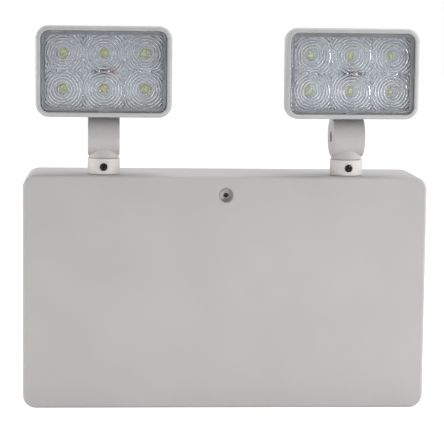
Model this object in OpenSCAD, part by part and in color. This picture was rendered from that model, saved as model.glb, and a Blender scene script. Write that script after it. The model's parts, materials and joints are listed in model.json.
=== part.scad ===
// Twin head emergency light.
// A mains charged box that hangs on a wall and carries two LED lamp heads on its top.
// The origin is the middle of the wall face. +X is to the right, -Y is out of the wall
// and +Z is up. All sizes are in millimetres.

/* [Housing] */
// Width of the box
housing_w = 275; // [265:1:310]
// Height of the box
housing_h = 160; // [155:1:190]
// Depth of the box, from the wall to its front
housing_d = 60; // [56:1:75]
// Radius of the four upright corners, seen from the front
corner_r = 9; // [6:0.5:14]
// Rounding of the front edge
edge_r = 2; // [1:0.25:3]
// Thickness of the moulded walls
wall = 2.5; // [2:0.1:3.2]
// Thickness of the back plate
plate_t = 3; // [2.5:0.1:5]

/* [Cover screw] */
// Distance of the cover screw below the top of the box
cover_screw_drop = 13.2; // [11:0.1:20]
// Diameter of the recess that the screw sits in
recess_d = 9.4; // [8.6:0.1:12]
// Depth of that recess
recess_depth = 4.5; // [3.6:0.1:7]
// Width of the bevel round the recess
recess_bevel = 0.9; // [0.3:0.1:1.5]
// Thread diameter of the cover screw
cover_screw_d = 4; // [3:0.5:5]
// Diameter of its round head
cover_head_d = 7; // [6:0.1:8]
// Length of its thread
cover_screw_l = 12; // [10:1:20]

/* [Wall fixing] */
// Distance of the fixing holes from the left and right of the box
fixing_inset_w = 27.5; // [20:0.5:40]
// Distance of the fixing holes from its top and bottom
fixing_inset_h = 30; // [26:0.5:36]
// Diameter of a fixing hole
fixing_d = 4.5; // [3:0.1:6.5]
// Diameter of the cable that the rubber bush takes
cable_d = 9; // [6:0.5:11]
// Distance of that bush from the left of the box
bush_inset = 47.5; // [42:0.5:60]

/* [Arms] */
// Distance of each arm's axis from its side of the box
arm_inset = 54.5; // [46:0.5:64]
// Distance of an arm's axis behind the front of the box
arm_setback = 13; // [12.5:0.1:20]
// Left head turned from straight ahead, in degrees, to the viewer's right
left_turn = 0; // [-20:1:20]
// Right head turned from straight ahead, in degrees, to the viewer's right
right_turn = 3; // [-20:1:20]
// Diameter of the turning collar
collar_d = 22; // [20.5:0.1:23]
// Height of the turning collar above the box
collar_h = 11; // [10:0.5:16]
// Diameter of the arm's neck
neck_d = 20.4; // [18.5:0.1:21]
// Height of the tilting pivot above the box
pivot_h = 26.4; // [25:0.1:32]
// Diameter of the round knuckle at the pivot
knuckle_d = 27.2; // [26:0.1:29]
// Length of the knuckle from side to side
knuckle_w = 21.6; // [20:0.1:26]
// Thread diameter of the pivot screw
pivot_d = 4; // [3:0.5:5]
// Thickness of the lug that turns in the knuckle
lug_t = 8; // [7:0.1:9]
// Outer diameter of the spigot that turns in the box
spigot_d = 16; // [15.6:0.1:17]
// Diameter of the way for the lamp cable
wire_way_d = 7; // [5:0.1:8]

/* [Lamp heads] */
// Width of a lamp head
head_w = 91; // [88:1:104]
// Height of a lamp head
head_h = 61; // [58:1:72]
// Radius of the head's corners, seen from the front
head_corner_r = 8.9; // [7:0.1:11]
// Rounding of the head's front edge
head_edge_r = 2.2; // [1:0.1:2.6]
// Width of the frame round the lens
frame_border = 3.2; // [2.8:0.1:4.5]
// Depth of the frame from front to back
frame_d = 9; // [8:0.1:12]
// Height of the head's lower edge above the pivot
head_lift = 13; // [12.5:0.1:18]
// Distance of the head's front in front of the pivot
head_reach = 21; // [20:0.1:26]
// Thickness of the moulded lamp shell
shell_wall = 2; // [1.5:0.1:2.6]
// Distance from the pivot back to the rear of the lamp shell
shell_back = 8.2; // [8:0.1:9.5]

/* [Lens and lamps] */
// Thickness of the lens
lens_t = 2.5; // [2:0.1:3]
// How far the lens lies below the frame's front
lens_sunk = 0.8; // [0.4:0.1:1.4]
// Gap between the lens and the frame
lens_gap = 0.8; // [0.5:0.1:1.2]
// Length of the four lens tabs that bridge the gap
lens_tab_w = 8.5; // [5:0.5:14]
// Distance between the lamps, across
led_step_x = 27.6; // [26:0.1:29]
// Distance between the lamps, up
led_step_y = 24; // [22:0.1:26]
// Distance from one lens ring to the next
ring_step = 2; // [1.6:0.1:3]
// Height of a lens ring
ring_h = 0.5; // [0.2:0.05:0.8]
// Side of a square lamp chip
led_side = 3.5; // [2.8:0.1:5]

/* [Battery and electronics] */
// Diameter of a battery cell
cell_d = 33; // [26:0.5:34]
// Length of a battery cell
cell_l = 57; // [50:0.5:60]
// Width of the main circuit board
board_w = 128; // [124:1:140]
// Height of the main circuit board
board_h = 72; // [66:1:80]
// Thickness of every circuit board
board_t = 1.6; // [1:0.1:2]
// Height of the board's standoffs
standoff_h = 8; // [5:0.5:12]

/* [Test button] */
// Distance of the button from the right of the box
button_inset = 25.5; // [24:0.1:28]
// Diameter of the button
button_d = 7; // [5:0.1:8]
// Travel of the button
button_travel = 1.5; // [0.8:0.1:1.8]
// Diameter of the indicator light
indicator_d = 5; // [3:0.1:6]

/* [Fit] */
// Radial clearance of turning and sliding fits
run_gap = 0.08; // [0.02:0.01:0.1]
// Gap between pieces that only lie side by side
side_gap = 0.2; // [0.1:0.05:0.3]
// Gap under a collar or washer that turns
turn_gap = 0.15; // [0.1:0.05:0.3]
// Radial clearance of a screw in its thread
thread_gap = 0.05; // [0.02:0.01:0.1]
// Smoothness of round shapes
facets = 64; // [32:8:96]

/* [Hidden] */
$fn = facets;
cut = 1;
sink = 0.1;

// Box
inner_w = housing_w - 2 * wall;
inner_h = housing_h - 2 * wall;
inner_corner_r = corner_r - wall;
inner_front = housing_d - wall;
lip_t = 2;
lip_h = 6;
hook_w = 16;
hook_x = housing_w / 4;
hook_bite = 1.2;
hook_t = 2.4;
hook_pocket = 1.5;
fixing_w = housing_w - 2 * fixing_inset_w;
fixing_h = housing_h - 2 * fixing_inset_h;
arm_x = housing_w / 2 - arm_inset;
button_x = housing_w / 2 - button_inset;

// Cover screw, its post and its brass insert
cover_screw_y = housing_h / 2 - cover_screw_drop;
recess_floor_t = 2.5;
recess_wall_t = 2;
recess_tube_d = recess_d + 2 * recess_wall_t;
recess_end = housing_d - recess_depth - recess_floor_t;
insert_wall = 1.1;
insert_d = cover_screw_d + 2 * insert_wall;
insert_l = 8;
post_wall = 2.4;
post_d = insert_d + 2 * post_wall;
cover_head_h = 2.6;
hex_share = 0.55;
hex_depth = 1.6;

// Collar, its spigot, washer and ring nut
arm_out = housing_d - arm_setback;
socket_d = spigot_d - 1;
socket_depth = 7.8;
neck_plug_d = socket_d - 2 * run_gap;
spigot_bore_d = wire_way_d + 2;
pad_t = 3;
bearing_l = wall + pad_t;
washer_t = 1;
ring_nut_t = 4;
ring_nut_wall = 2;
ring_nut_d = spigot_d + 2 * ring_nut_wall;
nut_notch = 1.6;
spigot_l = bearing_l + turn_gap + washer_t + ring_nut_t + 3 * side_gap;
seam_bevel = 0.4;
pan_half_range = 90;
stop_tab_half_angle = 10;
stop_tab_reach = 3;
stop_margin = 1.5;
pad_rim = 1;
pad_d = ring_nut_d + 2 * (stop_tab_reach + side_gap + pad_rim);

// Knuckle of the arm, and the lug of the head that turns in it
knuckle_edge_r = 0.7;
lug_rim = 2.1;
lug_r = knuckle_d / 2 - lug_rim;
pocket_r = lug_r + 2 * side_gap;
slot_w = lug_t + 2 * side_gap;
slot_front_angle = -26;
slot_back_angle = 104;
lug_angle = 55;
lug_half_angle = 19.5;
lug_web_t = 8;
lug_top_share = 0.44;
lug_heel = 1.5;
hub_r = pivot_d / 2 + 3.4;
groove_depth = 3.8;
groove_w = 4.4;
ring_groove_start = 45;
ring_groove_end = 215;
lead_ring_angles = [68, 90, 112, 134, 156, 178];

// Screws
small_head_h = 1.6;
collar_screw_h = 5.4;
collar_screw_d = 3;
collar_head_d = 5;
spotface_depth = 0.9;
collar_screw_seat = collar_d / 2 - spotface_depth;
collar_screw_l = collar_screw_seat - wire_way_d / 2 - 2 * side_gap;
pivot_head_d = 1.75 * pivot_d;
pivot_head_h = 2.2;
pivot_recess_d = pivot_head_d + 2 * turn_gap + 2 * side_gap;
pivot_recess_depth = 3.1;
nut_flats = 1.75 * pivot_d;
nut_corner_d = nut_flats / cos(30);
nut_t = 3.2;
nut_washer_t = 0.8;
nut_pocket_depth = 5;
cross_arm_share = 0.3;
cross_len_share = 0.62;

// Lamp head
head_mid_y = head_lift + head_h / 2;
opening_w = head_w - 2 * frame_border;
opening_h = head_h - 2 * frame_border;
opening_r = head_corner_r - frame_border;
lip_flare = 0.5;
lens_w = opening_w - 2 * lens_gap;
lens_h = opening_h - 2 * lens_gap;
lens_r = opening_r - lens_gap;
lens_front = head_reach - lens_sunk;
lens_back = lens_front - lens_t;
lens_seat = lens_back - side_gap / 2;
ledge_t = 1.5;
ledge_w = 2;
ledge_corner_r = 1;
ledge_back = lens_seat - ledge_t;
frame_back = head_reach - frame_d;
frame_side_t = 3;
shell_w = head_w - 2 * frame_side_t;
shell_h = head_h - 2 * frame_side_t;
shell_r = head_corner_r - frame_side_t + turn_gap;
shell_edge_r = shell_r - seam_bevel;
ridge_l = 14;
ridge_h = 0.6;
ridge_inset = 1.6;
nib_h = 1;
nib_low = 0.7;
nib_reach = 0.6;
lamp_space = 8.2;
board_front = lens_back - lamp_space;
board_back = board_front - board_t;
led_board_gap = 1.2;
led_board_w = shell_w - 2 * shell_wall - 2 * led_board_gap;
led_board_h = shell_h - 2 * shell_wall - 2 * run_gap;
stake_x = led_step_x / 2;
stake_inset = 4;
stake_y = led_board_h / 2 - stake_inset;
stake_d = 2;
stake_head_d = 3.2;
stake_head_t = 0.8;
stake_post_d = 4.4;
lead_d = 1.7;
lead_hole_d = 4.6;
lead_slack = 3;
lead_rise = 1.4;
lead_arch_share = 0.5;
pad_offset = 7.2;
led_body_t = 0.8;
led_dome_t = 0.5;
led_dome_share = 0.7;
ring_margin = 2.4;
ring_foot = 0.08;
ring_seam = 0.05;
wire_hole_y = head_lift + head_h / 3;

// Circuit board and what stands on it
board_x = 0;
cap_wall = 1.4;
cap_d = cell_d + 2 * cap_wall + side_gap;
post_zone_h = cover_screw_drop - wall + post_d / 2;
free_h = inner_h - post_zone_h - board_h - cap_d;
board_top_share = 0.21;
battery_floor_share = 0.275;
board_y = inner_h / 2 - post_zone_h - free_h * board_top_share - board_h / 2;
board_corner_r = 2;
standoff_d = 7;
board_inset = 5;
board_screw_d = 3;
board_screw_head_d = 5.6;
board_screw_l = 7;
board_back_z = plate_t + standoff_h;
board_front_z = board_back_z + board_t;
core_place_share = [-0.1875, 0.195];
core_w = 30;
core_h = 26;
core_t = 22;
winding_bulge = 5;
cap_place_shares = [[-0.095, -0.28], [0.007, -0.28], [0.108, -0.28], [0.265, -0.29]];
cap_diameters = [10, 10, 8, 12.5];
cap_heights = [16, 16, 12, 20];
chip_place_shares = [[0.156, 0.055], [0.297, 0.055], [0.062, 0.305]];
chip_size = [9, 7, 2];
relay_size = [20, 15, 14];
relay_place_share = [0.258, 0.278];
terminal_w = 12;
terminal_l = 24;
terminal_h = 12;
terminal_inset = 5;
terminal_up_share = -0.11;
terminal_place = [
    terminal_inset + terminal_w / 2 - board_w / 2, terminal_up_share * board_h
];
terminal_ways = 3;
terminal_screw_d = 4;
terminal_screw_l = 5;
connector_size = [8, 7, 9];
connector_inset = 8;
lamp_connector_x = board_w / 2 - connector_inset;
lamp_connector_y = board_h / 2 - 2 * connector_inset;
battery_connector_x = board_w / 2 - connector_inset;
battery_connector_y = 1.5 * connector_inset - board_h / 2;

// Battery
cell_gap = 0.4;
battery_y = free_h * battery_floor_share + cap_d / 2 - inner_h / 2;
clip_foot_t = 2;
clip_wall = 1.8;
battery_z = plate_t + clip_foot_t + clip_wall + cell_d / 2;
clip_w = 14;
clip_place_share = 0.3;
clip_foot_share = 0.6;
clip_grip_share = 0.35;
cap_cup = 7;
nub_d = 9;

// Cables in the box
lamp_lead_d = 3;
battery_lead_d = 3.2;
lead_drop = 7;
bend_share = 0.4;
bend_steps = 3;
wire_sides = 10;

// Test button, switch and indicator on the bottom of the box
switch_z = housing_d / 2;
button_dish_d = button_d + 5;
button_dish_depth = 1.2;
button_boss_d = button_d + 8;
button_boss_h = 5;
button_sunk = 0.7;
button_flange_d = button_d + 3;
button_flange_t = 1.2;
button_stem_d = 3.2;
button_seat = -housing_h / 2 + wall + button_boss_h;
spring_l = 5.7;
spring_d = 6;
spring_wire = 0.6;
spring_turns = 5;
spring_sides = 8;
spring_steps = 14;
switch_size = 8;
plunger_out = 2;
plunger_in = 1;
switch_t = button_travel + plunger_in + 1;
switch_face = button_seat + turn_gap + button_flange_t + spring_l;
switch_board_y = switch_face + switch_t;
switch_board_d = 14;
indicator_step = 14;
indicator_x = button_x - indicator_step;
indicator_rim = 0.5;
indicator_flange = 0.8;
indicator_boss_h = 2.5;
switch_post_d = 5;
switch_post_inset = 3;
switch_post_gap = 0.8;
switch_post_right = button_x + (button_boss_d + switch_post_d) / 2 + switch_post_gap;
switch_post_left =
    indicator_x - indicator_d / 2 - wall - switch_post_d / 2 - switch_post_gap;
switch_post_x = (switch_post_right - switch_post_left) / 2;
switch_board_x = (switch_post_right + switch_post_left) / 2;
switch_board_w = 2 * (switch_post_x + switch_post_inset);
switch_screw_d = 2.2;
switch_screw_l = 5;
switch_screw_head_d = 4;

// The battery holds as many cells as fit beside the switch board
battery_gap = 7.4;
battery_end = switch_board_x - switch_board_w / 2 - battery_gap - cap_wall;
cell_count = floor((battery_end + inner_w / 2 - cap_wall - battery_gap) / (cell_l + cell_gap));
battery_l = cell_count * cell_l + (cell_count - 1) * cell_gap;
battery_x = battery_end - battery_l / 2;

// Rubber bush for the mains cable
bush_x = bush_inset - housing_w / 2;
bush_y = 2;
bush_wall = 2.5;
bush_neck_d = cable_d + 2 * bush_wall;
bush_flange_d = bush_neck_d + 2 * bush_wall;
bush_flange_t = 2;

housing_colour = "#d6d4d3";
board_colour = "#e6ebef";
green_colour = "#2f6b45";
brass_colour = "#c2a15a";
copper_colour = "#c98a3a";
steel_colour = "#a9abad";
dark_colour = "#2a2a2c";

LEFT = -1;
RIGHT = 1;

// Frames

// Turns a shape drawn face up into one that faces out of the wall:
// x stays to the right, y becomes up and z becomes out.
module facing_out() {
    rotate([90, 0, 0]) children();
}

// The foot of an arm: the middle of its collar at the top of the box, turned with the arm
module at_arm(side) {
    translate([side * arm_x, -arm_out, housing_h / 2])
        rotate([0, 0, side == LEFT ? left_turn : right_turn]) children();
}

// The tilting pivot of an arm, with x along the pivot, y up and z out
module at_pivot(side) {
    at_arm(side) translate([0, 0, pivot_h]) facing_out() children();
}

// The middle of a lamp head, with x to the right, y up and z out
module at_head(side) {
    at_pivot(side) translate([0, head_mid_y, 0]) children();
}

// Shapes

// Rectangle with round corners
module round_rect(w, h, r) {
    square([w - 2 * r, h], center = true);
    square([w, h - 2 * r], center = true);
    for (x = [-1, 1], y = [-1, 1])
        translate([x * (w / 2 - r), y * (h / 2 - r)]) circle(r = r);
}

// Plate with round corners that stands on z = 0
module plate(w, h, r, t) {
    linear_extrude(t) round_rect(w, h, r);
}

// Side view of a plate whose two upper edges are rounded
module edge_profile(w, t, e) {
    translate([-w / 2, 0]) square([w, t - e]);
    translate([-w / 2 + e, 0]) square([w - 2 * e, t]);
    for (x = [-1, 1]) translate([x * (w / 2 - e), t - e]) circle(r = e);
}

// Plate with round corners whose whole upper edge is rounded
module soft_plate(w, h, r, t, e) {
    rotate([90, 0, 0])
        linear_extrude(h - 2 * r, center = true) edge_profile(w, t, e);
    rotate([90, 0, 90])
        linear_extrude(w - 2 * r, center = true) edge_profile(h, t, e);
    for (x = [-1, 1], y = [-1, 1])
        translate([x * (w / 2 - r), y * (h / 2 - r), 0])
            rotate_extrude() intersection() {
                edge_profile(2 * r, t, e);
                square([r, t]);
            }
}

// Cylinder whose bottom and top edges are bevelled
module bevelled_rod(d, h, low, high) {
    rotate_extrude()
        polygon([
            [0, 0], [d / 2 - low, 0], [d / 2, low],
            [d / 2, h - high], [d / 2 - high, h], [0, h]
        ]);
}

// Disc with rounded rims, centred on the origin
module soft_disc(d, w, e) {
    rotate_extrude() intersection() {
        union() {
            translate([-d / 2, -w / 2 + e]) square([d, w - 2 * e]);
            translate([-d / 2 + e, -w / 2]) square([d - 2 * e, w]);
            for (y = [-1, 1])
                translate([d / 2 - e, y * (w / 2 - e)]) circle(r = e);
        }
        translate([0, -w / 2]) square([d / 2, w]);
    }
}

// Lays a shape that stands along z along x instead
module along_x() {
    rotate([0, 90, 0]) children();
}

// Lays a shape that stands along z along y instead
module along_y() {
    rotate([-90, 0, 0]) children();
}

// Cross recess for a screwdriver, cut downward from z = 0
module cross_recess(d, depth) {
    arm_w = d * cross_arm_share;
    arm_l = d * cross_len_share;
    for (a = [0, 90])
        rotate([0, 0, a]) translate([-arm_l / 2, -arm_w / 2, -depth])
            cube([arm_l, arm_w, depth + cut]);
}

// Pan head screw whose head stands on z = 0 and whose thread points down
module pan_screw(d, l, head_d, head_h) {
    difference() {
        bevelled_rod(head_d, head_h, 0, head_h / 3);
        translate([0, 0, head_h]) cross_recess(head_d, head_h / 2);
    }
    translate([0, 0, -l]) bevelled_rod(d, l + sink, d / 6, 0);
}

// Solid tube through a list of rings of points
module tube(rings) {
    sides = len(rings[0]);
    last = len(rings) - 1;
    polyhedron(
        points = [for (ring = rings) each ring],
        faces = concat(
            [[for (k = [0 : sides - 1]) sides - 1 - k]],
            [[for (k = [0 : sides - 1]) last * sides + k]],
            [for (i = [0 : last - 1], k = [0 : sides - 1])
                let (next = (k + 1) % sides)
                [i * sides + k, i * sides + next,
                 (i + 1) * sides + next, (i + 1) * sides + k]]
        )
    );
}

function unit(v) = v / norm(v);

// Path whose corners are rounded
function rounded_path(points) = concat(
    [points[0]],
    [for (i = [1 : len(points) - 2])
        let (
            p = points[i],
            from = p + (points[i - 1] - p) * bend_share,
            to = p + (points[i + 1] - p) * bend_share
        )
        for (k = [0 : bend_steps])
            let (t = k / bend_steps)
            (1 - t) * (1 - t) * from + 2 * t * (1 - t) * p + t * t * to],
    [points[len(points) - 1]]
);

// Rings of a wire along a path: each ring is the last one carried on to the next bend
function carried_rings(path, ring, i) =
    i == len(path) - 1 ? [ring] :
    let (
        along = unit(path[i + 1] - path[i]),
        normal = i + 2 == len(path) ? along : unit(along + unit(path[i + 2] - path[i + 1])),
        next = [for (p = ring)
            p + along * ((path[i + 1] - p) * normal) / (along * normal)]
    )
    concat([ring], carried_rings(path, next, i + 1));

// Round wire along a list of points
module wire(points, d) {
    path = rounded_path(points);
    along = unit(path[1] - path[0]);
    aside = unit(cross(along, [along[1], along[2], along[0]]));
    up = cross(aside, along);
    ring = [for (k = [0 : wire_sides - 1])
        let (a = 360 * k / wire_sides)
        path[0] + d / 2 * (cos(a) * aside + sin(a) * up)];
    tube(carried_rings(path, ring, 0));
}

// Sector of a circle between two angles, counted from up towards the rear.
// It is drawn in the side view, with y up and x out of the wall.
module side_sector(r, from, to) {
    steps = 4;
    polygon(concat(
        [[0, 0]],
        [for (i = [0 : steps])
            let (a = from + (to - from) * i / steps)
            [-r * sin(a), r * cos(a)]]
    ));
}

// Extrudes a side view, drawn with x out and y up, across the object's width
module across(w) {
    rotate([0, -90, 0]) linear_extrude(w, center = true) children();
}

// Box

module at_board_corners(inset) {
    for (x = [-1, 1], y = [-1, 1])
        translate([
            board_x + x * (board_w / 2 - inset), board_y + y * (board_h / 2 - inset), 0
        ])
            children();
}

module screw_recess() {
    translate([0, cover_screw_y, 0]) {
        translate([0, 0, housing_d - recess_depth])
            cylinder(d = recess_d, h = recess_depth + cut);
        translate([0, 0, housing_d - recess_bevel])
            cylinder(
                d1 = recess_d, d2 = recess_d + 2 * (recess_bevel + cut),
                h = recess_bevel + cut
            );
        translate([0, 0, recess_end - cut])
            cylinder(d = cover_screw_d + 2 * side_gap, h = recess_floor_t + 2 * cut);
    }
}

// Pad under the top wall that an arm turns in, and the rib that stops its washer
module arm_pad(side) {
    stop_start = pan_half_range + stop_tab_half_angle + stop_margin;
    stop_h = turn_gap + washer_t + side_gap;
    translate([side * arm_x, housing_h / 2 - wall - pad_t, arm_out]) along_y() {
        intersection() {
            cylinder(d = pad_d, h = pad_t + sink);
            translate([-pad_d / 2, sink - arm_setback, 0])
                cube([pad_d, pad_d, pad_t + sink]);
        }
        translate([0, 0, -stop_h]) intersection() {
            rotate([0, 0, 90 + stop_start])
                rotate_extrude(angle = 360 - 2 * stop_start)
                    translate([ring_nut_d / 2 + side_gap, 0])
                        square([stop_tab_reach, stop_h + sink]);
            translate([-pad_d / 2, sink - arm_setback, 0])
                cube([pad_d, pad_d, pad_t]);
        }
    }
}

module bottom_boss(x, d, h) {
    translate([x, -housing_h / 2 + wall - sink, switch_z])
        along_y() cylinder(d = d, h = h + sink);
}

module bottom_hole(x, d, h) {
    translate([x, -housing_h / 2 - cut, switch_z])
        along_y() cylinder(d = d, h = h + cut);
}

module switch_posts() {
    post_h = switch_board_y + housing_h / 2 - wall;
    for (s = [-1, 1]) difference() {
        bottom_boss(switch_board_x + s * switch_post_x, switch_post_d, post_h);
        translate([
            switch_board_x + s * switch_post_x, switch_board_y - switch_screw_l, switch_z
        ])
            along_y() cylinder(
                d = switch_screw_d + 2 * thread_gap, h = switch_screw_l + cut
            );
    }
}

module front_housing() {
    color(housing_colour) facing_out() difference() {
        union() {
            difference() {
                translate([0, 0, plate_t])
                    soft_plate(housing_w, housing_h, corner_r, housing_d - plate_t, edge_r);
                translate([0, 0, plate_t - cut])
                    plate(inner_w, inner_h, inner_corner_r, inner_front - plate_t + cut);
            }
            translate([0, cover_screw_y, recess_end])
                cylinder(d = recess_tube_d, h = inner_front - recess_end + sink);
            for (side = [LEFT, RIGHT]) arm_pad(side);
            bottom_boss(button_x, button_boss_d, button_boss_h);
            bottom_boss(indicator_x, indicator_d + 2 * wall, indicator_boss_h);
            switch_posts();
        }
        screw_recess();
        for (side = [LEFT, RIGHT])
            translate([side * arm_x, housing_h / 2 - bearing_l - cut, arm_out])
                along_y() cylinder(d = spigot_d + 2 * run_gap, h = bearing_l + 2 * cut);
        bottom_hole(button_x, button_dish_d, button_dish_depth);
        bottom_hole(button_x, button_d + 2 * run_gap, wall + button_boss_h + cut);
        bottom_hole(
            indicator_x, indicator_d + 2 * run_gap, wall + indicator_boss_h + cut
        );
        for (s = [-1, 1])
            translate([
                s * hook_x - hook_w / 2 - side_gap,
                -inner_h / 2 - hook_pocket,
                plate_t + lip_h - hook_t - side_gap
            ])
                cube([
                    hook_w + 2 * side_gap, hook_pocket + cut, hook_t + 2 * side_gap
                ]);
    }
}

module back_plate() {
    lip_w = inner_w - 2 * side_gap;
    lip_up = inner_h - 2 * side_gap;
    lip_r = inner_corner_r - side_gap;
    color(housing_colour) facing_out() difference() {
        union() {
            plate(housing_w, housing_h, corner_r, plate_t);
            difference() {
                translate([0, 0, sink]) plate(lip_w, lip_up, lip_r, plate_t + lip_h - sink);
                translate([0, 0, plate_t])
                    plate(
                        lip_w - 2 * lip_t, lip_up - 2 * lip_t, lip_r - lip_t, lip_h + cut
                    );
            }
            for (s = [-1, 1])
                translate([
                    s * hook_x - hook_w / 2,
                    -lip_up / 2 - hook_bite,
                    plate_t + lip_h - hook_t
                ])
                    cube([hook_w, hook_bite + lip_t, hook_t]);
            translate([0, cover_screw_y, plate_t - sink])
                cylinder(d = post_d, h = recess_end - plate_t + sink);
            at_board_corners(board_inset)
                translate([0, 0, plate_t - sink])
                    cylinder(d = standoff_d, h = standoff_h + sink);
        }
        translate([0, cover_screw_y, recess_end - insert_l])
            cylinder(d = insert_d, h = insert_l + cut);
        translate([0, cover_screw_y, recess_end - cover_screw_l])
            cylinder(d = cover_screw_d + 2 * thread_gap, h = cover_screw_l);
        at_board_corners(board_inset)
            translate([0, 0, board_front_z - board_screw_l])
                cylinder(d = board_screw_d + 2 * thread_gap, h = board_screw_l + cut);
        for (x = [-1, 1], y = [-1, 1])
            translate([x * fixing_w / 2, y * fixing_h / 2, -cut])
                cylinder(d = fixing_d, h = plate_t + 2 * cut);
        translate([bush_x, bush_y, -cut])
            cylinder(d = bush_neck_d + 2 * run_gap, h = plate_t + 2 * cut);
    }
}

// Screws and small pieces of the box

module cover_screw() {
    color(steel_colour) facing_out()
        translate([0, cover_screw_y, housing_d - recess_depth]) {
            difference() {
                bevelled_rod(cover_head_d, cover_head_h, 0, cover_head_h / 8);
                translate([0, 0, cover_head_h - hex_depth])
                    cylinder(d = cover_head_d * hex_share, h = hex_depth + cut, $fn = 6);
            }
            translate([0, 0, -cover_screw_l])
                bevelled_rod(
                    cover_screw_d, cover_screw_l + sink, cover_screw_d / 6, 0
                );
        }
}

module screw_insert() {
    color(brass_colour) facing_out()
        translate([0, cover_screw_y, recess_end - insert_l]) difference() {
            cylinder(d = insert_d - 2 * run_gap, h = insert_l);
            translate([0, 0, -cut])
                cylinder(d = cover_screw_d + 2 * thread_gap, h = insert_l + 2 * cut);
        }
}

module cable_bush() {
    color(dark_colour) facing_out() translate([bush_x, bush_y, 0]) difference() {
        union() {
            cylinder(d = bush_neck_d, h = plate_t + sink);
            translate([0, 0, plate_t])
                bevelled_rod(bush_flange_d, bush_flange_t, 0, bush_flange_t / 4);
        }
        translate([0, 0, -cut])
            cylinder(d = cable_d, h = plate_t + bush_flange_t + 2 * cut);
    }
}

// Main circuit board

module on_board() {
    facing_out() translate([board_x, board_y, board_front_z]) children();
}

// A place on the board, given as shares of its width and height from its middle
module at_share(place) {
    translate([place[0] * board_w, place[1] * board_h, 0]) children();
}

module circuit_board() {
    color(green_colour) facing_out() difference() {
        translate([board_x, board_y, board_back_z])
            plate(board_w, board_h, board_corner_r, board_t);
        at_board_corners(board_inset)
            translate([0, 0, board_back_z - cut])
                cylinder(d = board_screw_d + 2 * side_gap, h = board_t + 2 * cut);
    }
}

module board_screws() {
    color(steel_colour) facing_out() at_board_corners(board_inset)
        translate([0, 0, board_front_z])
            pan_screw(
                board_screw_d, board_screw_l - side_gap, board_screw_head_d, small_head_h
            );
}

module transformer_core() {
    window_w = core_w / 6;
    color(steel_colour) on_board() at_share(core_place_share) difference() {
        translate([-core_w / 2, -core_t / 2, 0]) cube([core_w, core_t, core_h]);
        for (s = [-1, 1])
            translate([
                s * core_w / 4 - window_w / 2, -core_t / 2 - cut, window_w
            ])
                cube([window_w, core_t + 2 * cut, core_h - 2 * window_w]);
    }
}

module transformer_winding() {
    window_w = core_w / 6;
    outer_w = core_w / 2 + window_w - 2 * side_gap;
    leg_w = core_w / 2 - window_w + 2 * side_gap;
    leg_t = core_t + 2 * side_gap;
    height = core_h - 2 * window_w - 2 * side_gap;
    color(copper_colour) on_board() at_share(core_place_share)
        translate([0, 0, window_w + side_gap]) difference() {
            plate(outer_w, leg_t + 2 * winding_bulge, winding_bulge / 2, height);
            translate([-leg_w / 2, -leg_t / 2, -cut])
                cube([leg_w, leg_t, height + 2 * cut]);
        }
}

module capacitors() {
    color(dark_colour) on_board()
        for (i = [0 : len(cap_diameters) - 1])
            at_share(cap_place_shares[i])
                bevelled_rod(
                    cap_diameters[i], cap_heights[i], 0, cap_diameters[i] / 16
                );
}

module relay() {
    color("#2f5fa8") on_board() at_share(relay_place_share)
        translate([-relay_size[0] / 2, -relay_size[1] / 2, 0]) cube(relay_size);
}

module control_chips() {
    color(dark_colour) on_board()
        for (p = chip_place_shares)
            at_share(p) translate([-chip_size[0] / 2, -chip_size[1] / 2, 0])
                cube(chip_size);
}

module at_terminal_ways() {
    way = terminal_l / terminal_ways;
    for (i = [0 : terminal_ways - 1])
        translate([
            terminal_place[0], terminal_place[1] + (i - (terminal_ways - 1) / 2) * way, 0
        ])
            children();
}

module terminal_block() {
    color("#3f8f5a") on_board() difference() {
        translate([
            terminal_place[0] - terminal_w / 2, terminal_place[1] - terminal_l / 2, 0
        ])
            cube([terminal_w, terminal_l, terminal_h]);
        at_terminal_ways() {
            translate([0, 0, terminal_h - terminal_screw_l])
                cylinder(
                    d = terminal_screw_d + 2 * side_gap, h = terminal_screw_l + cut
                );
            translate([-terminal_w / 2 - cut, 0, terminal_h / 3])
                along_x() cylinder(d = terminal_screw_d, h = terminal_w / 2 + cut);
        }
    }
}

module terminal_screws() {
    color(brass_colour) on_board() at_terminal_ways()
        translate([0, 0, terminal_h - terminal_screw_l]) difference() {
            cylinder(d = terminal_screw_d, h = terminal_screw_l - 2 * side_gap);
            translate([-terminal_screw_d, -side_gap, terminal_screw_l - washer_t])
                cube([2 * terminal_screw_d, 2 * side_gap, washer_t]);
        }
}

module board_connectors() {
    places = concat(
        [for (side = [LEFT, RIGHT]) [side * lamp_connector_x, lamp_connector_y]],
        [[battery_connector_x, battery_connector_y]]
    );
    color("#e8e4d8") on_board()
        for (p = places)
            translate([
                p[0] - connector_size[0] / 2, p[1] - connector_size[1] / 2, 0
            ])
                cube(connector_size);
}

// Battery

module at_battery() {
    facing_out() translate([battery_x, battery_y, battery_z]) along_x() children();
}

module battery_cells() {
    color("#5b7fa6") at_battery()
        for (i = [0 : cell_count - 1])
            translate([0, 0, -battery_l / 2 + i * (cell_l + cell_gap)]) {
                bevelled_rod(cell_d, cell_l, cell_gap, cell_gap);
                if (i < cell_count - 1)
                    translate([0, 0, cell_l - sink])
                        cylinder(d = nub_d, h = cell_gap + sink);
            }
}

module battery_end_caps() {
    color(dark_colour) at_battery()
        for (s = [0, 1]) mirror([0, 0, s])
            translate([0, 0, battery_l / 2 - cap_cup]) difference() {
                bevelled_rod(cap_d, cap_cup + cap_wall, 0, cap_wall / 2);
                translate([0, 0, -cut])
                    cylinder(d = cell_d + side_gap, h = cap_cup + cut);
            }
}

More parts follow.
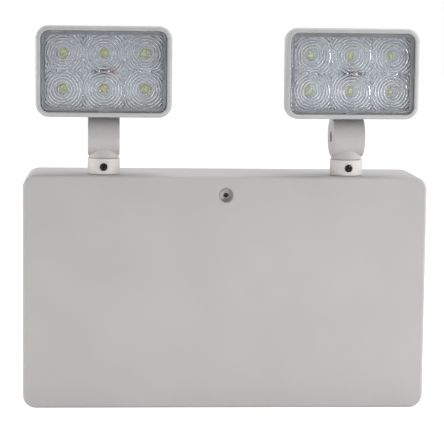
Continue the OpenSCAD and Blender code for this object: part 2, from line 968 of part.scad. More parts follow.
module battery_clips() {
    cradle_r = cell_d / 2 + side_gap / 2;
    outer_r = cradle_r + clip_wall;
    foot_up = cell_d * clip_foot_share;
    color(housing_colour) facing_out()
        for (s = [-1, 1])
            translate([battery_x + s * battery_l * clip_place_share, battery_y, 0])
                difference() {
                    union() {
                        translate([0, 0, battery_z])
                            along_x() cylinder(r = outer_r, h = clip_w, center = true);
                        translate([-clip_w / 2, -foot_up / 2, plate_t])
                            cube([clip_w, foot_up, battery_z - plate_t]);
                    }
                    translate([0, 0, battery_z])
                        along_x() cylinder(
                            r = cradle_r, h = clip_w + 2 * cut, center = true
                        );
                    translate([-clip_w, -cell_d, battery_z + cradle_r * clip_grip_share])
                        cube([2 * clip_w, 2 * cell_d, cell_d]);
                }
}

module battery_lead() {
    start_x = battery_x + battery_l / 2 + cap_wall;
    turn_x = start_x + lead_drop;
    plug_x = board_x + battery_connector_x;
    plug_y = board_y + battery_connector_y - connector_size[1] / 2;
    plug_z = board_front_z + connector_size[2] / 2;
    color(dark_colour) facing_out() wire([
        [start_x, battery_y, battery_z],
        [turn_x, battery_y, battery_z],
        [turn_x, plug_y - lead_drop, plug_z],
        [plug_x, plug_y - lead_drop, plug_z],
        [plug_x, plug_y, plug_z]
    ], battery_lead_d);
}

module lamp_leads() {
    plug_y = board_y + lamp_connector_y + connector_size[1] / 2;
    plug_z = board_front_z + connector_size[2] / 2;
    start_y = housing_h / 2 - spigot_l - lead_drop - side_gap;
    color(dark_colour) facing_out() for (side = [LEFT, RIGHT]) wire([
        [side * arm_x, start_y, arm_out],
        [side * arm_x, start_y - lead_drop, arm_out],
        [board_x + side * lamp_connector_x, plug_y + lead_drop, plug_z],
        [board_x + side * lamp_connector_x, plug_y, plug_z]
    ], lamp_lead_d);
}

// Test button, switch and indicator

module on_bottom(x, y) {
    facing_out() translate([x, y, switch_z]) along_y() children();
}

module switch_board() {
    color(green_colour) on_bottom(switch_board_x, switch_board_y) difference() {
        translate([-switch_board_w / 2, -switch_board_d / 2, 0])
            cube([switch_board_w, switch_board_d, board_t]);
        for (s = [-1, 1])
            translate([s * switch_post_x, 0, -cut])
                cylinder(d = switch_screw_d + 2 * side_gap, h = board_t + 2 * cut);
    }
}

module switch_board_screws() {
    color(steel_colour)
        for (s = [-1, 1])
            on_bottom(switch_board_x + s * switch_post_x, switch_board_y + board_t)
                pan_screw(
                    switch_screw_d, switch_screw_l, switch_screw_head_d, small_head_h
                );
}

module test_switch() {
    color(dark_colour) on_bottom(button_x, switch_face) difference() {
        translate([-switch_size / 2, -switch_size / 2, 0])
            cube([switch_size, switch_size, switch_t]);
        translate([0, 0, -cut])
            cylinder(
                d = button_stem_d + 2 * run_gap,
                h = cut + plunger_in + button_travel + side_gap
            );
    }
}

module indicator_light() {
    seat = -housing_h / 2 + wall + indicator_boss_h;
    tip = -housing_h / 2 + side_gap;
    leg_d = indicator_d / 8;
    color("#5fbf6a") {
        on_bottom(indicator_x, tip + indicator_d / 2) {
            sphere(d = indicator_d);
            cylinder(d = indicator_d, h = seat - tip - indicator_d / 2 + sink);
        }
        on_bottom(indicator_x, seat) {
            cylinder(d = indicator_d + 2 * indicator_rim, h = indicator_flange);
            for (s = [-1, 1])
                translate([s * indicator_d / 4, 0, 0])
                    cylinder(d = leg_d, h = switch_board_y - seat);
        }
    }
}

module test_button() {
    low = -housing_h / 2 + button_sunk;
    flange = button_seat + turn_gap;
    color("#b8bcc0") {
        on_bottom(button_x, low)
            bevelled_rod(button_d, flange - low + sink, button_d / 16, 0);
        on_bottom(button_x, flange) {
            cylinder(d = button_flange_d, h = button_flange_t);
            cylinder(d = button_stem_d, h = switch_face - flange - plunger_out);
        }
    }
}

module switch_plunger() {
    color("#b5453c") on_bottom(button_x, switch_face - plunger_out)
        cylinder(d = button_stem_d, h = plunger_out + plunger_in);
}

// Rings of a coil spring that stands on z = 0
function spring_rings(l, d, wire_d) = [
    for (i = [0 : spring_turns * spring_steps])
        let (
            turn = 360 * i / spring_steps,
            rise = wire_d / 2 + (l - wire_d) * i / (spring_turns * spring_steps)
        )
        [for (k = [0 : spring_sides - 1])
            let (
                around = 360 * k / spring_sides,
                reach = (d - wire_d) / 2 + wire_d / 2 * cos(around)
            )
            [reach * cos(turn), reach * sin(turn), rise + wire_d / 2 * sin(around)]]
];

module test_spring() {
    color(steel_colour)
        on_bottom(button_x, button_seat + turn_gap + button_flange_t)
            tube(spring_rings(spring_l, spring_d, spring_wire));
}

// Arms

// Hole or screw that points into a collar from the front, at the height of its screw
module at_collar_screw() {
    translate([0, -collar_screw_seat, collar_screw_h]) rotate([90, 0, 0]) children();
}

module collar(side) {
    color(housing_colour) at_arm(side) difference() {
        union() {
            translate([0, 0, turn_gap])
                bevelled_rod(collar_d, collar_h - turn_gap, seam_bevel, seam_bevel);
            translate([0, 0, -spigot_l])
                bevelled_rod(spigot_d, spigot_l + 2 * turn_gap, seam_bevel, 0);
        }
        translate([0, 0, -spigot_l - cut])
            cylinder(d = spigot_bore_d, h = spigot_l + collar_h);
        translate([0, 0, collar_h - socket_depth])
            cylinder(d = socket_d, h = socket_depth + cut);
        at_collar_screw() {
            cylinder(d = collar_head_d + 2 * side_gap, h = collar_d);
            translate([0, 0, -collar_screw_l])
                cylinder(d = collar_screw_d + 2 * thread_gap, h = collar_screw_l + cut);
        }
    }
}

module stop_washer(side) {
    color(steel_colour) at_arm(side)
        translate([0, 0, -bearing_l - turn_gap - washer_t]) difference() {
            union() {
                cylinder(d = ring_nut_d, h = washer_t);
                rotate([0, 0, 90 - stop_tab_half_angle])
                    rotate_extrude(angle = 2 * stop_tab_half_angle)
                        translate([spigot_d / 2 + 2 * run_gap, 0])
                            square([
                                ring_nut_d / 2 + stop_tab_reach
                                    - spigot_d / 2 - 2 * run_gap,
                                washer_t
                            ]);
            }
            translate([0, 0, -cut])
                cylinder(d = spigot_d + 2 * run_gap, h = washer_t + 2 * cut);
        }
}

module ring_nut(side) {
    color(brass_colour) at_arm(side)
        translate([0, 0, -bearing_l - turn_gap - washer_t - ring_nut_t]) difference() {
            bevelled_rod(ring_nut_d, ring_nut_t, seam_bevel, 0);
            translate([0, 0, -cut])
                cylinder(d = spigot_d + 2 * run_gap, h = ring_nut_t + 2 * cut);
            for (a = [0 : 90 : 270])
                rotate([0, 0, a])
                    translate([ring_nut_d / 2 - nut_notch, -nut_notch / 2, -cut])
                        cube([nut_notch + cut, nut_notch, ring_nut_t / 2 + cut]);
        }
}

module collar_screw(side) {
    color(dark_colour) at_arm(side) at_collar_screw()
        pan_screw(collar_screw_d, collar_screw_l, collar_head_d, small_head_h);
}

module arm(side) {
    color(housing_colour) at_arm(side) difference() {
        union() {
            translate([0, 0, collar_h])
                bevelled_rod(neck_d, pivot_h - collar_h, seam_bevel, 0);
            translate([0, 0, collar_h - socket_depth + side_gap])
                cylinder(d = neck_plug_d, h = socket_depth);
            translate([0, 0, pivot_h])
                along_x() soft_disc(knuckle_d, knuckle_w, knuckle_edge_r);
        }
        translate([0, 0, pivot_h]) {
            along_x() cylinder(r = pocket_r, h = slot_w, center = true);
            facing_out() across(slot_w)
                side_sector(knuckle_d, slot_front_angle, slot_back_angle);
            along_x() cylinder(
                d = pivot_d + 2 * thread_gap, h = knuckle_w + 2 * cut, center = true
            );
            translate([-knuckle_w / 2 - cut, 0, 0])
                along_x() cylinder(d = pivot_recess_d, h = pivot_recess_depth + cut);
            translate([knuckle_w / 2 - nut_pocket_depth, 0, 0])
                facing_out() along_x() cylinder(
                    d = nut_corner_d + 2 * side_gap, h = nut_pocket_depth + cut, $fn = 6
                );
        }
        cylinder(d = wire_way_d, h = pivot_h);
        at_collar_screw() translate([0, 0, -collar_screw_l - side_gap])
            cylinder(d = collar_screw_d + 2 * thread_gap, h = collar_d);
    }
}

module pivot_screw(side) {
    color(steel_colour) at_pivot(side)
        translate([-knuckle_w / 2 + pivot_recess_depth, 0, 0])
            rotate([0, -90, 0])
                pan_screw(
                    pivot_d,
                    knuckle_w - pivot_recess_depth - nut_pocket_depth
                        + nut_washer_t + nut_t + side_gap,
                    pivot_head_d, pivot_head_h
                );
}

module pivot_nut(side) {
    color(steel_colour) at_pivot(side)
        translate([knuckle_w / 2 - nut_pocket_depth, 0, 0]) along_x() difference() {
            union() {
                cylinder(d = nut_flats - 2 * side_gap, h = nut_washer_t);
                translate([0, 0, nut_washer_t])
                    cylinder(d = nut_corner_d, h = nut_t, $fn = 6);
            }
            translate([0, 0, -cut])
                cylinder(
                    d = pivot_d + 2 * thread_gap, h = nut_washer_t + nut_t + 2 * cut
                );
        }
}

module arm_cable(side) {
    low = -spigot_l - lead_drop;
    color(dark_colour) at_arm(side)
        translate([0, (wire_way_d - lamp_lead_d) / 2 - side_gap, low])
            cylinder(d = lamp_lead_d, h = pivot_h - pocket_r - low);
}

// Lamp heads

// Opening whose front edge flares outward
module flared_plate(w, h, r, t, flare) {
    rotate([90, 0, 0]) linear_extrude(h - 2 * r, center = true)
        flared_profile(w, t, flare);
    rotate([90, 0, 90]) linear_extrude(w - 2 * r, center = true)
        flared_profile(h, t, flare);
    for (x = [-1, 1], y = [-1, 1])
        translate([x * (w / 2 - r), y * (h / 2 - r), 0])
            rotate_extrude() intersection() {
                flared_profile(2 * r, t, flare);
                square([r + flare + cut, t + cut]);
            }
}

// Upright section of such an opening, with its flare and an overrun above it
module flared_profile(w, t, flare) {
    polygon([
        [-w / 2, 0], [w / 2, 0], [w / 2, t - flare],
        [w / 2 + flare + cut, t + cut], [-w / 2 - flare - cut, t + cut],
        [-w / 2, t - flare]
    ]);
}

// Places the four lens tabs: the middle of each side of the lens, x pointing outward
module at_lens_tabs() {
    for (s = [0, 180]) {
        rotate([0, 0, s]) translate([lens_w / 2, 0, 0]) children();
        rotate([0, 0, s + 90]) translate([lens_h / 2, 0, 0]) children();
    }
}

module lens_nibs(reach, spare) {
    at_lens_tabs()
        translate([-sink, -lens_tab_w / 2 - spare, lens_back + nib_low - spare])
            cube([lens_gap + reach + sink, lens_tab_w + 2 * spare, nib_h + 2 * spare]);
}

module shell_ridges(spare) {
    for (s = [-1, 1], x = [-1, 1])
        translate([
            x * led_step_x - ridge_l / 2 - spare,
            s * (shell_h / 2) - ridge_h - spare,
            frame_back + ridge_inset - spare
        ])
            cube([ridge_l + 2 * spare, 2 * (ridge_h + spare), ridge_h + 2 * spare]);
}

module lens_frame(side) {
    color(housing_colour) at_head(side) difference() {
        translate([0, 0, frame_back])
            soft_plate(head_w, head_h, head_corner_r, frame_d, head_edge_r);
        translate([0, 0, lens_seat])
            flared_plate(
                opening_w, opening_h, opening_r, head_reach - lens_seat, lip_flare
            );
        translate([0, 0, frame_back - cut])
            plate(
                opening_w - 2 * (lens_gap + ledge_w),
                opening_h - 2 * (lens_gap + ledge_w),
                ledge_corner_r,
                frame_d
            );
        translate([0, 0, frame_back - cut])
            plate(
                shell_w + 2 * run_gap, shell_h + 2 * run_gap, shell_r + run_gap,
                ledge_back - frame_back + cut
            );
        lens_nibs(nib_reach + side_gap, side_gap / 2);
        shell_ridges(side_gap / 2);
    }
}

module rear_shell(side) {
    depth = ledge_back + shell_back;
    color(housing_colour) at_head(side) difference() {
        union() {
            difference() {
                translate([0, 0, ledge_back]) mirror([0, 0, 1])
                    soft_plate(shell_w, shell_h, shell_r, depth, shell_edge_r);
                translate([0, 0, ledge_back + cut]) mirror([0, 0, 1])
                    soft_plate(
                        shell_w - 2 * shell_wall, shell_h - 2 * shell_wall,
                        shell_r - shell_wall, depth - shell_wall + cut,
                        shell_edge_r - shell_wall
                    );
            }
            shell_ridges(0);
            board_stakes();
            translate([0, -head_mid_y, 0]) lug();
        }
        translate([0, -head_mid_y, 0]) lug_cuts();
    }
}

// Posts that carry the lamp board, with pins melted over its front
module board_stakes() {
    for (x = [-1, 1], y = [-1, 1]) translate([x * stake_x, y * stake_y, 0]) {
        translate([0, 0, shell_wall - shell_back - sink])
            cylinder(d = stake_post_d, h = board_back - shell_wall + shell_back + sink);
        cylinder(d = stake_d, h = board_front + sink);
        translate([0, 0, board_front])
            bevelled_rod(stake_head_d, stake_head_t, 0, stake_head_t / 2);
    }
}

// Side view of the lug: a disc round the pivot and a web that rises behind the shell
module lug_outline() {
    web_back = shell_back + lug_web_t;
    rim = knuckle_d / 2 + side_gap;
    upper = lug_angle - lug_half_angle;
    lower = lug_angle + lug_half_angle;
    circle(r = lug_r);
    polygon([
        [0, 0],
        [-shell_back, shell_back / tan(upper)],
        [-shell_back + sink, head_lift + lug_top_share * head_h],
        [-web_back, head_lift + lug_top_share * head_h],
        [-web_back, web_back / tan(lower) + lug_heel],
        [-rim * sin(lower), rim * cos(lower)]
    ]);
}

module lug() {
    across(lug_t) lug_outline();
}

// Bore, cable groove and cable hole of the lug
module lug_cuts() {
    groove_x = lug_t / 2 - groove_depth;
    web_mid = -shell_back - lug_web_t / 2;
    along_x() cylinder(d = pivot_d + 2 * run_gap, h = lug_t + 2 * cut, center = true);
    translate([groove_x + groove_depth, 0, 0]) across(2 * groove_depth) difference() {
        intersection() {
            circle(r = lug_r + cut);
            side_sector(2 * knuckle_d, ring_groove_start, ring_groove_end);
        }
        circle(r = hub_r);
    }
    translate([groove_x, hub_r, web_mid - groove_w / 2])
        cube([groove_depth + cut, wire_hole_y + groove_w / 2 - hub_r, groove_w]);
    translate([groove_x, wire_hole_y - groove_w / 2, web_mid])
        cube([groove_depth, groove_w, shell_back + lug_web_t]);
}

module lens_rings() {
    cell_w = led_step_x;
    pattern_w = lens_w - 2 * ring_margin;
    pattern_h = lens_h - 2 * ring_margin;
    ring_count = ceil(norm([cell_w, pattern_h]) / 2 / ring_step) + 1;
    for (c = [-1 : 1], row = [-1, 1]) {
        low_x = c < 0 ? -pattern_w / 2 : c * led_step_x - cell_w / 2;
        high_x = c > 0 ? pattern_w / 2 : c * led_step_x + cell_w / 2;
        intersection() {
            translate([c * led_step_x, row * led_step_y / 2, lens_back])
                rotate_extrude() polygon(concat(
                    [[0, sink], [0, -ring_h], [ring_step / 2, -ring_h]],
                    [for (i = [1 : ring_count - 1], k = [0 : 1])
                        [(i + k / 2) * ring_step, k == 0 ? -ring_foot : -ring_h]],
                    [[ring_count * ring_step, -ring_foot],
                     [ring_count * ring_step, sink]]
                ));
            translate([
                low_x + ring_seam,
                row < 0 ? -pattern_h / 2 : ring_seam,
                lens_back - 2 * ring_h
            ])
                cube([
                    high_x - low_x - 2 * ring_seam,
                    pattern_h / 2 - ring_seam,
                    3 * ring_h
                ]);
        }
    }
}

module lens(side) {
    color("#b9c4d3", 0.5) at_head(side) {
        translate([0, 0, lens_back]) plate(lens_w, lens_h, lens_r, lens_t);
        at_lens_tabs()
            translate([-sink, -lens_tab_w / 2, lens_back])
                cube([lens_gap - side_gap / 2 + sink, lens_tab_w, lens_t]);
        lens_nibs(nib_reach, 0);
        lens_rings();
    }
}

module led_board(side) {
    color(board_colour) at_head(side) translate([0, 0, board_back]) difference() {
        plate(led_board_w, led_board_h, shell_r - shell_wall, board_t);
        translate([0, 0, -cut]) cylinder(d = lead_hole_d, h = board_t + 2 * cut);
        for (x = [-1, 1], y = [-1, 1])
            translate([x * stake_x, y * stake_y, -cut])
                cylinder(d = stake_d + 2 * run_gap, h = board_t + 2 * cut);
    }
}

module leds(side) {
    color("#d9e07a") at_head(side)
        for (x = [-1 : 1], y = [-1, 1])
            translate([x * led_step_x, y * led_step_y / 2, board_front]) {
                translate([-led_side / 2, -led_side / 2, 0])
                    cube([led_side, led_side, led_body_t]);
                cylinder(d = led_side * led_dome_share, h = led_body_t + led_dome_t);
            }
}

// One of the two leads of a lamp board: from its solder pad in a low arch, through the
// board and the shell into the lug, and round the pivot. s is -1 for the black lead, 1
// for the red.
module lamp_lead(side, s) {
    r = lead_d / 2;
    in_hole = s * (r + side_gap);
    in_groove = lug_t / 2 - groove_depth + side_gap + r
        + (s > 0 ? lead_d + side_gap / 2 : 0);
    web_mid = -shell_back - lug_web_t / 2;
    hole_y = wire_hole_y - head_mid_y;
    ring_r = (hub_r + lug_r) / 2;
    at_head(side) wire(concat(
        [
            [s * pad_offset, 0, board_front + r],
            [s * pad_offset * lead_arch_share, 0, board_front + r + lead_rise],
            [in_hole, 0, board_front + r + lead_rise],
            [in_hole, 0, board_back - lead_slack],
            [in_groove, hole_y, shell_wall - shell_back + lead_slack],
            [in_groove, hole_y, web_mid],
            [in_groove, ring_r - head_mid_y, web_mid]
        ],
        [for (a = lead_ring_angles)
            [in_groove, ring_r * cos(a) - head_mid_y, -ring_r * sin(a)]]
    ), lead_d);
}

// Nodes

module left_collar() { collar(LEFT); }
module left_stop_washer() { stop_washer(LEFT); }
module left_ring_nut() { ring_nut(LEFT); }
module left_collar_screw() { collar_screw(LEFT); }
module left_arm() { arm(LEFT); }
module left_pivot_screw() { pivot_screw(LEFT); }
module left_pivot_nut() { pivot_nut(LEFT); }
module left_arm_cable() { arm_cable(LEFT); }
module left_rear_shell() { rear_shell(LEFT); }
module left_lens_frame() { lens_frame(LEFT); }
module left_lens() { lens(LEFT); }
module left_led_board() { led_board(LEFT); }
module left_leds() { leds(LEFT); }
module left_black_lead() { color("#222222") lamp_lead(LEFT, -1); }
module left_red_lead() { color("#a83232") lamp_lead(LEFT, 1); }

module right_collar() { collar(RIGHT); }
module right_stop_washer() { stop_washer(RIGHT); }
module right_ring_nut() { ring_nut(RIGHT); }
module right_collar_screw() { collar_screw(RIGHT); }
module right_arm() { arm(RIGHT); }
module right_pivot_screw() { pivot_screw(RIGHT); }
module right_pivot_nut() { pivot_nut(RIGHT); }
module right_arm_cable() { arm_cable(RIGHT); }
module right_rear_shell() { rear_shell(RIGHT); }
module right_lens_frame() { lens_frame(RIGHT); }
module right_lens() { lens(RIGHT); }
module right_led_board() { led_board(RIGHT); }
module right_leds() { leds(RIGHT); }
module right_black_lead() { color("#222222") lamp_lead(RIGHT, -1); }
module right_red_lead() { color("#a83232") lamp_lead(RIGHT, 1); }

front_housing();
back_plate();
cover_screw();
screw_insert();
cable_bush();
circuit_board();
board_screws();
transformer_core();
transformer_winding();
capacitors();
relay();
control_chips();
terminal_block();
terminal_screws();
board_connectors();
battery_cells();
battery_end_caps();
battery_clips();
battery_lead();
lamp_leads();
switch_board();
switch_board_screws();
test_switch();
indicator_light();
test_button();
switch_plunger();
test_spring();
left_collar();
left_stop_washer();
left_ring_nut();
left_collar_screw();
left_arm();
left_pivot_screw();
left_pivot_nut();
left_arm_cable();
left_rear_shell();
left_lens_frame();
left_lens();
left_led_board();
left_leds();
left_black_lead();
left_red_lead();
right_collar();
right_stop_washer();
right_ring_nut();
right_collar_screw();
right_arm();
right_pivot_screw();
right_pivot_nut();
right_arm_cable();
right_rear_shell();
right_lens_frame();
right_lens();
right_led_board();
right_leds();
right_black_lead();
right_red_lead();
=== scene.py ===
# %% [markdown]
# # A twin head emergency light
#
# The real object is a white moulded box that hangs on a wall. It carries two lamp heads
# on its top, and each head has six LEDs behind a clear ringed lens. Its solids come from
# CAD and stay as they are. This file gives them their finishes, adds the small things
# that a CAD model leaves out, and lights and frames the scene.

# %% Load the solids
import bpy
import bmesh
import json
import math
from mathutils import Vector, Matrix


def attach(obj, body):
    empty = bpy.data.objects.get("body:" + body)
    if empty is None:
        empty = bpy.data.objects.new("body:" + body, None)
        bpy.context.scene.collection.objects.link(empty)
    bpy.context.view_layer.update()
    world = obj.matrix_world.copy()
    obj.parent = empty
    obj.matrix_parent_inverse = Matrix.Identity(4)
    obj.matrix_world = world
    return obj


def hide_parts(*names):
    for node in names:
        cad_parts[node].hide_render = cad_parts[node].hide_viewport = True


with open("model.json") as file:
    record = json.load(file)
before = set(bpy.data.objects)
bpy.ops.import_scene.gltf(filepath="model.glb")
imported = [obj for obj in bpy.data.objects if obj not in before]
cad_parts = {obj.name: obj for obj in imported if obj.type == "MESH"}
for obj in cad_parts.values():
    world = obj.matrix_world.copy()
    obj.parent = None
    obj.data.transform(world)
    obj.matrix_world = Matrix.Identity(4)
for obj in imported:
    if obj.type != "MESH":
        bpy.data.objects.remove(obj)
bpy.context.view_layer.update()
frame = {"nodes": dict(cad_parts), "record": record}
solids = frame["nodes"]
MM = 0.001
print("solids:", len(solids))

# %% [markdown]
# ## Camera
#
# The photo was taken from a little above and a little to the left, with a long lens. A
# camera like that could be placed by eye. Here its place was fitted to the edges of the
# box, so that the render can be laid over the photo. The roll is the slight lean of the
# whole picture.

# %% Place the camera
CAMERA_PLACE = Vector((-76.2, -1265.6, 189.0)) * MM
YAW, PITCH, ROLL = (math.radians(a) for a in (3.49, 6.31, 0.64))
PHOTO_WIDTH_PX = 444
FOCAL_PX = 1790
SENSOR_MM = 36

forward = Vector((math.sin(YAW) * math.cos(PITCH), math.cos(YAW) * math.cos(PITCH),
                  -math.sin(PITCH)))
level_right = Vector((math.cos(YAW), -math.sin(YAW), 0))
level_up = level_right.cross(forward)
right = math.cos(ROLL) * level_right + math.sin(ROLL) * level_up
up = right.cross(forward)
camera_data = bpy.data.cameras.new("camera")
camera_data.sensor_fit = "HORIZONTAL"
camera_data.sensor_width = SENSOR_MM
camera_data.lens = SENSOR_MM * FOCAL_PX / PHOTO_WIDTH_PX
camera = bpy.data.objects.new("camera", camera_data)
turn = Matrix((right, up, -forward)).transposed().to_4x4()
camera.matrix_world = Matrix.Translation(CAMERA_PLACE) @ turn
bpy.context.collection.objects.link(camera)
bpy.context.scene.camera = camera
print("lens:", round(camera_data.lens, 1), "mm")

# %% [markdown]
# ## Helpers for materials
#
# Colours are written as the hex values that a screen shows. Blender mixes light in linear
# values, so one function turns the first into the second. Another small function adds a
# node with its settings and links, which keeps each material short enough to read.

# %% Colours and nodes
def linear(hex_colour):
    """Linear RGBA of an sRGB hex colour, by the curve of the sRGB standard."""
    parts = [int(hex_colour[i:i + 2], 16) / 255 for i in (1, 3, 5)]
    return [p / 12.92 if p <= 0.04045 else ((p + 0.055) / 1.055) ** 2.4
            for p in parts] + [1]


def add_node(tree, kind, values=None, links=None, **settings):
    """Adds a node. Values fill its sockets, links join them to other nodes' outputs."""
    made = tree.nodes.new(kind)
    for name, value in settings.items():
        setattr(made, name, value)
    for name, value in (values or {}).items():
        made.inputs[name].default_value = value
    for name, source in (links or {}).items():
        tree.links.new(source, made.inputs[name])
    return made


def new_material(name):
    """A new material and its node tree, emptied."""
    material = bpy.data.materials.new(name)
    material.use_nodes = True
    material.node_tree.nodes.clear()
    return material, material.node_tree


def finish_material(tree, values, links):
    """Ends a material with its one surface shader."""
    shader = add_node(tree, "ShaderNodeBsdfPrincipled", values, links)
    add_node(tree, "ShaderNodeOutputMaterial", links={"Surface": shader.outputs["BSDF"]})


def place_of(tree):
    """The point on the solid in metres, the same in every pose."""
    return add_node(tree, "ShaderNodeTexCoord").outputs["Object"]


print("white in linear values:", linear("#FFFFFF"))

# %% [markdown]
# ## Moulded ABS
#
# The housing, the arms and the lamp shells are white ABS. The mould is spark eroded, so
# its surface is very finely pitted, and it scatters highlights into a soft sheen. A noise
# texture makes the pits. Real pits are about 0.05 mm and wouldn't show, so these are
# 0.4 mm. A second, broad noise varies the tone a little, as flow in a mould does. White
# ABS is lighter than the tones below. They are set so that the body stands against the
# lenses as in the photo, under the lamps of this scene.

# %% Patterns for materials
FINE_DETAIL = 3.0


def tone_ramp(tree, factor, dark, light, low=0.35, high=0.65):
    """Blends between two colours where the factor goes from low to high."""
    ramp = add_node(tree, "ShaderNodeValToRGB", links={"Fac": factor})
    ramp.color_ramp.elements[0].position = low
    ramp.color_ramp.elements[0].color = linear(dark)
    ramp.color_ramp.elements[1].position = high
    ramp.color_ramp.elements[1].color = linear(light)
    return ramp.outputs["Color"]


def noise(tree, place, size_mm, detail=2.0):
    """Noise whose patches are about size_mm across."""
    return add_node(tree, "ShaderNodeTexNoise",
                    {"Scale": 1 / (size_mm * MM), "Detail": detail},
                    {"Vector": place}).outputs["Fac"]


def bump_of(tree, height, depth_mm, strength):
    """Surface normals of a relief that is depth_mm deep."""
    return add_node(tree, "ShaderNodeBump", {"Strength": strength, "Distance": depth_mm * MM},
                    {"Height": height}).outputs["Normal"]


def varied_roughness(tree, factor, roughness, spread):
    """Roughness that follows a pattern, spread to each side of its mean."""
    return add_node(tree, "ShaderNodeMapRange",
                    {"To Min": roughness - spread, "To Max": roughness + spread},
                    {"Value": factor}).outputs["Result"]


print("helpers: tone_ramp, noise, bump_of, varied_roughness")

# %% [markdown]
# One function makes every moulded plastic from these patterns. It takes the two tones that
# the plastic drifts between and how rough it is. The fine pits serve twice: they make the
# sheen uneven, and they tilt the surface a little this way and that.

# %% Moulded plastics
PLASTIC_IOR = 1.54
DRIFT_MM = 60
PIT_DEPTH_MM, PIT_RELIEF, PIT_SPREAD = 0.05, 0.12, 0.05


def moulded_plastic(name, dark, light, roughness, pit_mm=0.4):
    """Fine matt moulded plastic, whose tone drifts between two colours."""
    material, tree = new_material(name)
    place = place_of(tree)
    pits = noise(tree, place, pit_mm, FINE_DETAIL)
    finish_material(tree, {"IOR": PLASTIC_IOR}, {
        "Base Color": tone_ramp(tree, noise(tree, place, DRIFT_MM), dark, light),
        "Roughness": varied_roughness(tree, pits, roughness, PIT_SPREAD),
        "Normal": bump_of(tree, pits, PIT_DEPTH_MM, PIT_RELIEF)})
    return material


white_abs = moulded_plastic("abs_moulded_white", "#ACA9A9", "#B0ADAD", 0.52)
head_abs = moulded_plastic("abs_moulded_lamp_shell", "#ADADAE", "#B1B1B2", 0.50)
# The collars' copy is lighter than the housing's white: painted light, for the side light
# that falls on them.
collar_abs_painted_light = moulded_plastic("abs_moulded_collar_painted_light", "#C3C0BE", "#C7C4C2", 0.5)
# This black also serves as painted shade in the cover screw's socket.
black_nylon_and_socket_shade = moulded_plastic("nylon_moulded_black_and_socket_shade", "#1B1B1D", "#222224", 0.48)
grey_button = moulded_plastic("abs_moulded_grey", "#9EA2A5", "#A7ABAE", 0.4)
red_acetal = moulded_plastic("acetal_moulded_red", "#A83A30", "#B44338", 0.35)
blue_case = moulded_plastic("pbt_moulded_blue", "#2858A0", "#2F62AC", 0.35)
green_case = moulded_plastic("pbt_moulded_green", "#2F7F4C", "#388A56", 0.4)
cream_case = moulded_plastic("nylon_moulded_cream", "#DDD6C2", "#E4DECC", 0.42)
print("moulded plastics:", sum("_moulded_" in m.name for m in bpy.data.materials))

# %% [markdown]
# ## Clear lens
#
# The lens is moulded polycarbonate, clear all through, with an IOR of 1.585. It needs no
# painted pattern: its rings are real ridges on its rear face, and they bend the light.
# A faint unevenness of its polished front is what keeps its reflections from being
# perfectly sharp.

# %% Clear polycarbonate
CLEAR_IOR = 1.585
WAVE_DETAIL, WAVE_SPREAD = 1.0, 0.01
WAVE_DEPTH_MM, WAVE_RELIEF = 0.02, 0.2


def clear_plastic(name, colour, roughness, wave_mm):
    """See-through moulded plastic with a very slightly uneven polish."""
    material, tree = new_material(name)
    waves = noise(tree, place_of(tree), wave_mm, WAVE_DETAIL)
    finish_material(tree, {"IOR": CLEAR_IOR, "Transmission Weight": 1.0}, {
        "Base Color": tone_ramp(tree, waves, colour, "#FFFFFF", 0.0, 1.0),
        "Roughness": varied_roughness(tree, waves, roughness, WAVE_SPREAD),
        "Normal": bump_of(tree, waves, WAVE_DEPTH_MM, WAVE_RELIEF)})
    return material


clear_lens = clear_plastic("polycarbonate_clear", "#F2F5FA", 0.05, 6)
green_lens = clear_plastic("polycarbonate_green", "#7FD68A", 0.12, 3)
print("clear plastics:", clear_lens.name, green_lens.name)

# %% [markdown]
# ## Metals
#
# The screws are steel with a zinc plating, which is bright but finely marked. That of the
# cover screw is matt. The collar screws are black, with light spots painted into the
# colour in small patches: painted glints, for the glints off their cross recesses. One
# noise makes the marks on every metal, finer or coarser. Turned brass really has rings, but
# on parts this small they wouldn't show. For all of them a metal shader is enough, and its
# colour sets the metal.

# %% Plated and turned metals
MARK_DETAIL, MARK_SPREAD = 4.0, 0.08
MARK_DEPTH_MM, MARK_RELIEF = 0.02, 0.15


def worked_metal(name, dark, light, roughness, mark_mm, tone_mm=3, low=0.35, high=0.65):
    """Metal whose working marks are about mark_mm apart."""
    material, tree = new_material(name)
    place = place_of(tree)
    marks = noise(tree, place, mark_mm, MARK_DETAIL)
    finish_material(tree, {"Metallic": 1.0}, {
        "Base Color": tone_ramp(tree, noise(tree, place, tone_mm), dark, light, low, high),
        "Roughness": varied_roughness(tree, marks, roughness, MARK_SPREAD),
        "Normal": bump_of(tree, marks, MARK_DEPTH_MM, MARK_RELIEF)})
    return material


zinc_steel = worked_metal("steel_zinc_plated", "#9A9C9F", "#B4B6B8", 0.3, 0.5)
# Painted glints: light specks mixed into the black in small patches.
black_steel_painted_glints = worked_metal("steel_blackened_painted_glints", "#1B1A19", "#8A867E", 0.34, 0.5,
                           tone_mm=0.9, low=0.55, high=0.75)
screw_steel = worked_metal("steel_zinc_matt", "#82807F", "#979594", 0.58, 0.5)
sheet_steel = worked_metal("steel_sheet_rolled", "#8C8E90", "#A2A4A6", 0.4, 1.5)
brass = worked_metal("brass_turned", "#B08D45", "#C6A35A", 0.28, 0.4)
solder = worked_metal("solder_tin_melted", "#8F9194", "#B2B4B7", 0.34, 0.8)
metals = (zinc_steel, black_steel_painted_glints, screw_steel, sheet_steel, brass, solder)
print("metals:", [metal.name for metal in metals])

# %% [markdown]
# ## Boards, wires and rubber
#
# A circuit board is glass fibre under a coat of solder resist: white on the lamp boards,
# so that it throws light forward, and green in the box. The weave of the glass is drawn as
# faint slanting bands about 4 mm apart. A real weave is finer and wouldn't show. Wires
# have a smooth PVC sleeve, and the bush and the cable sheaths are matt rubber with a fine
# grain.

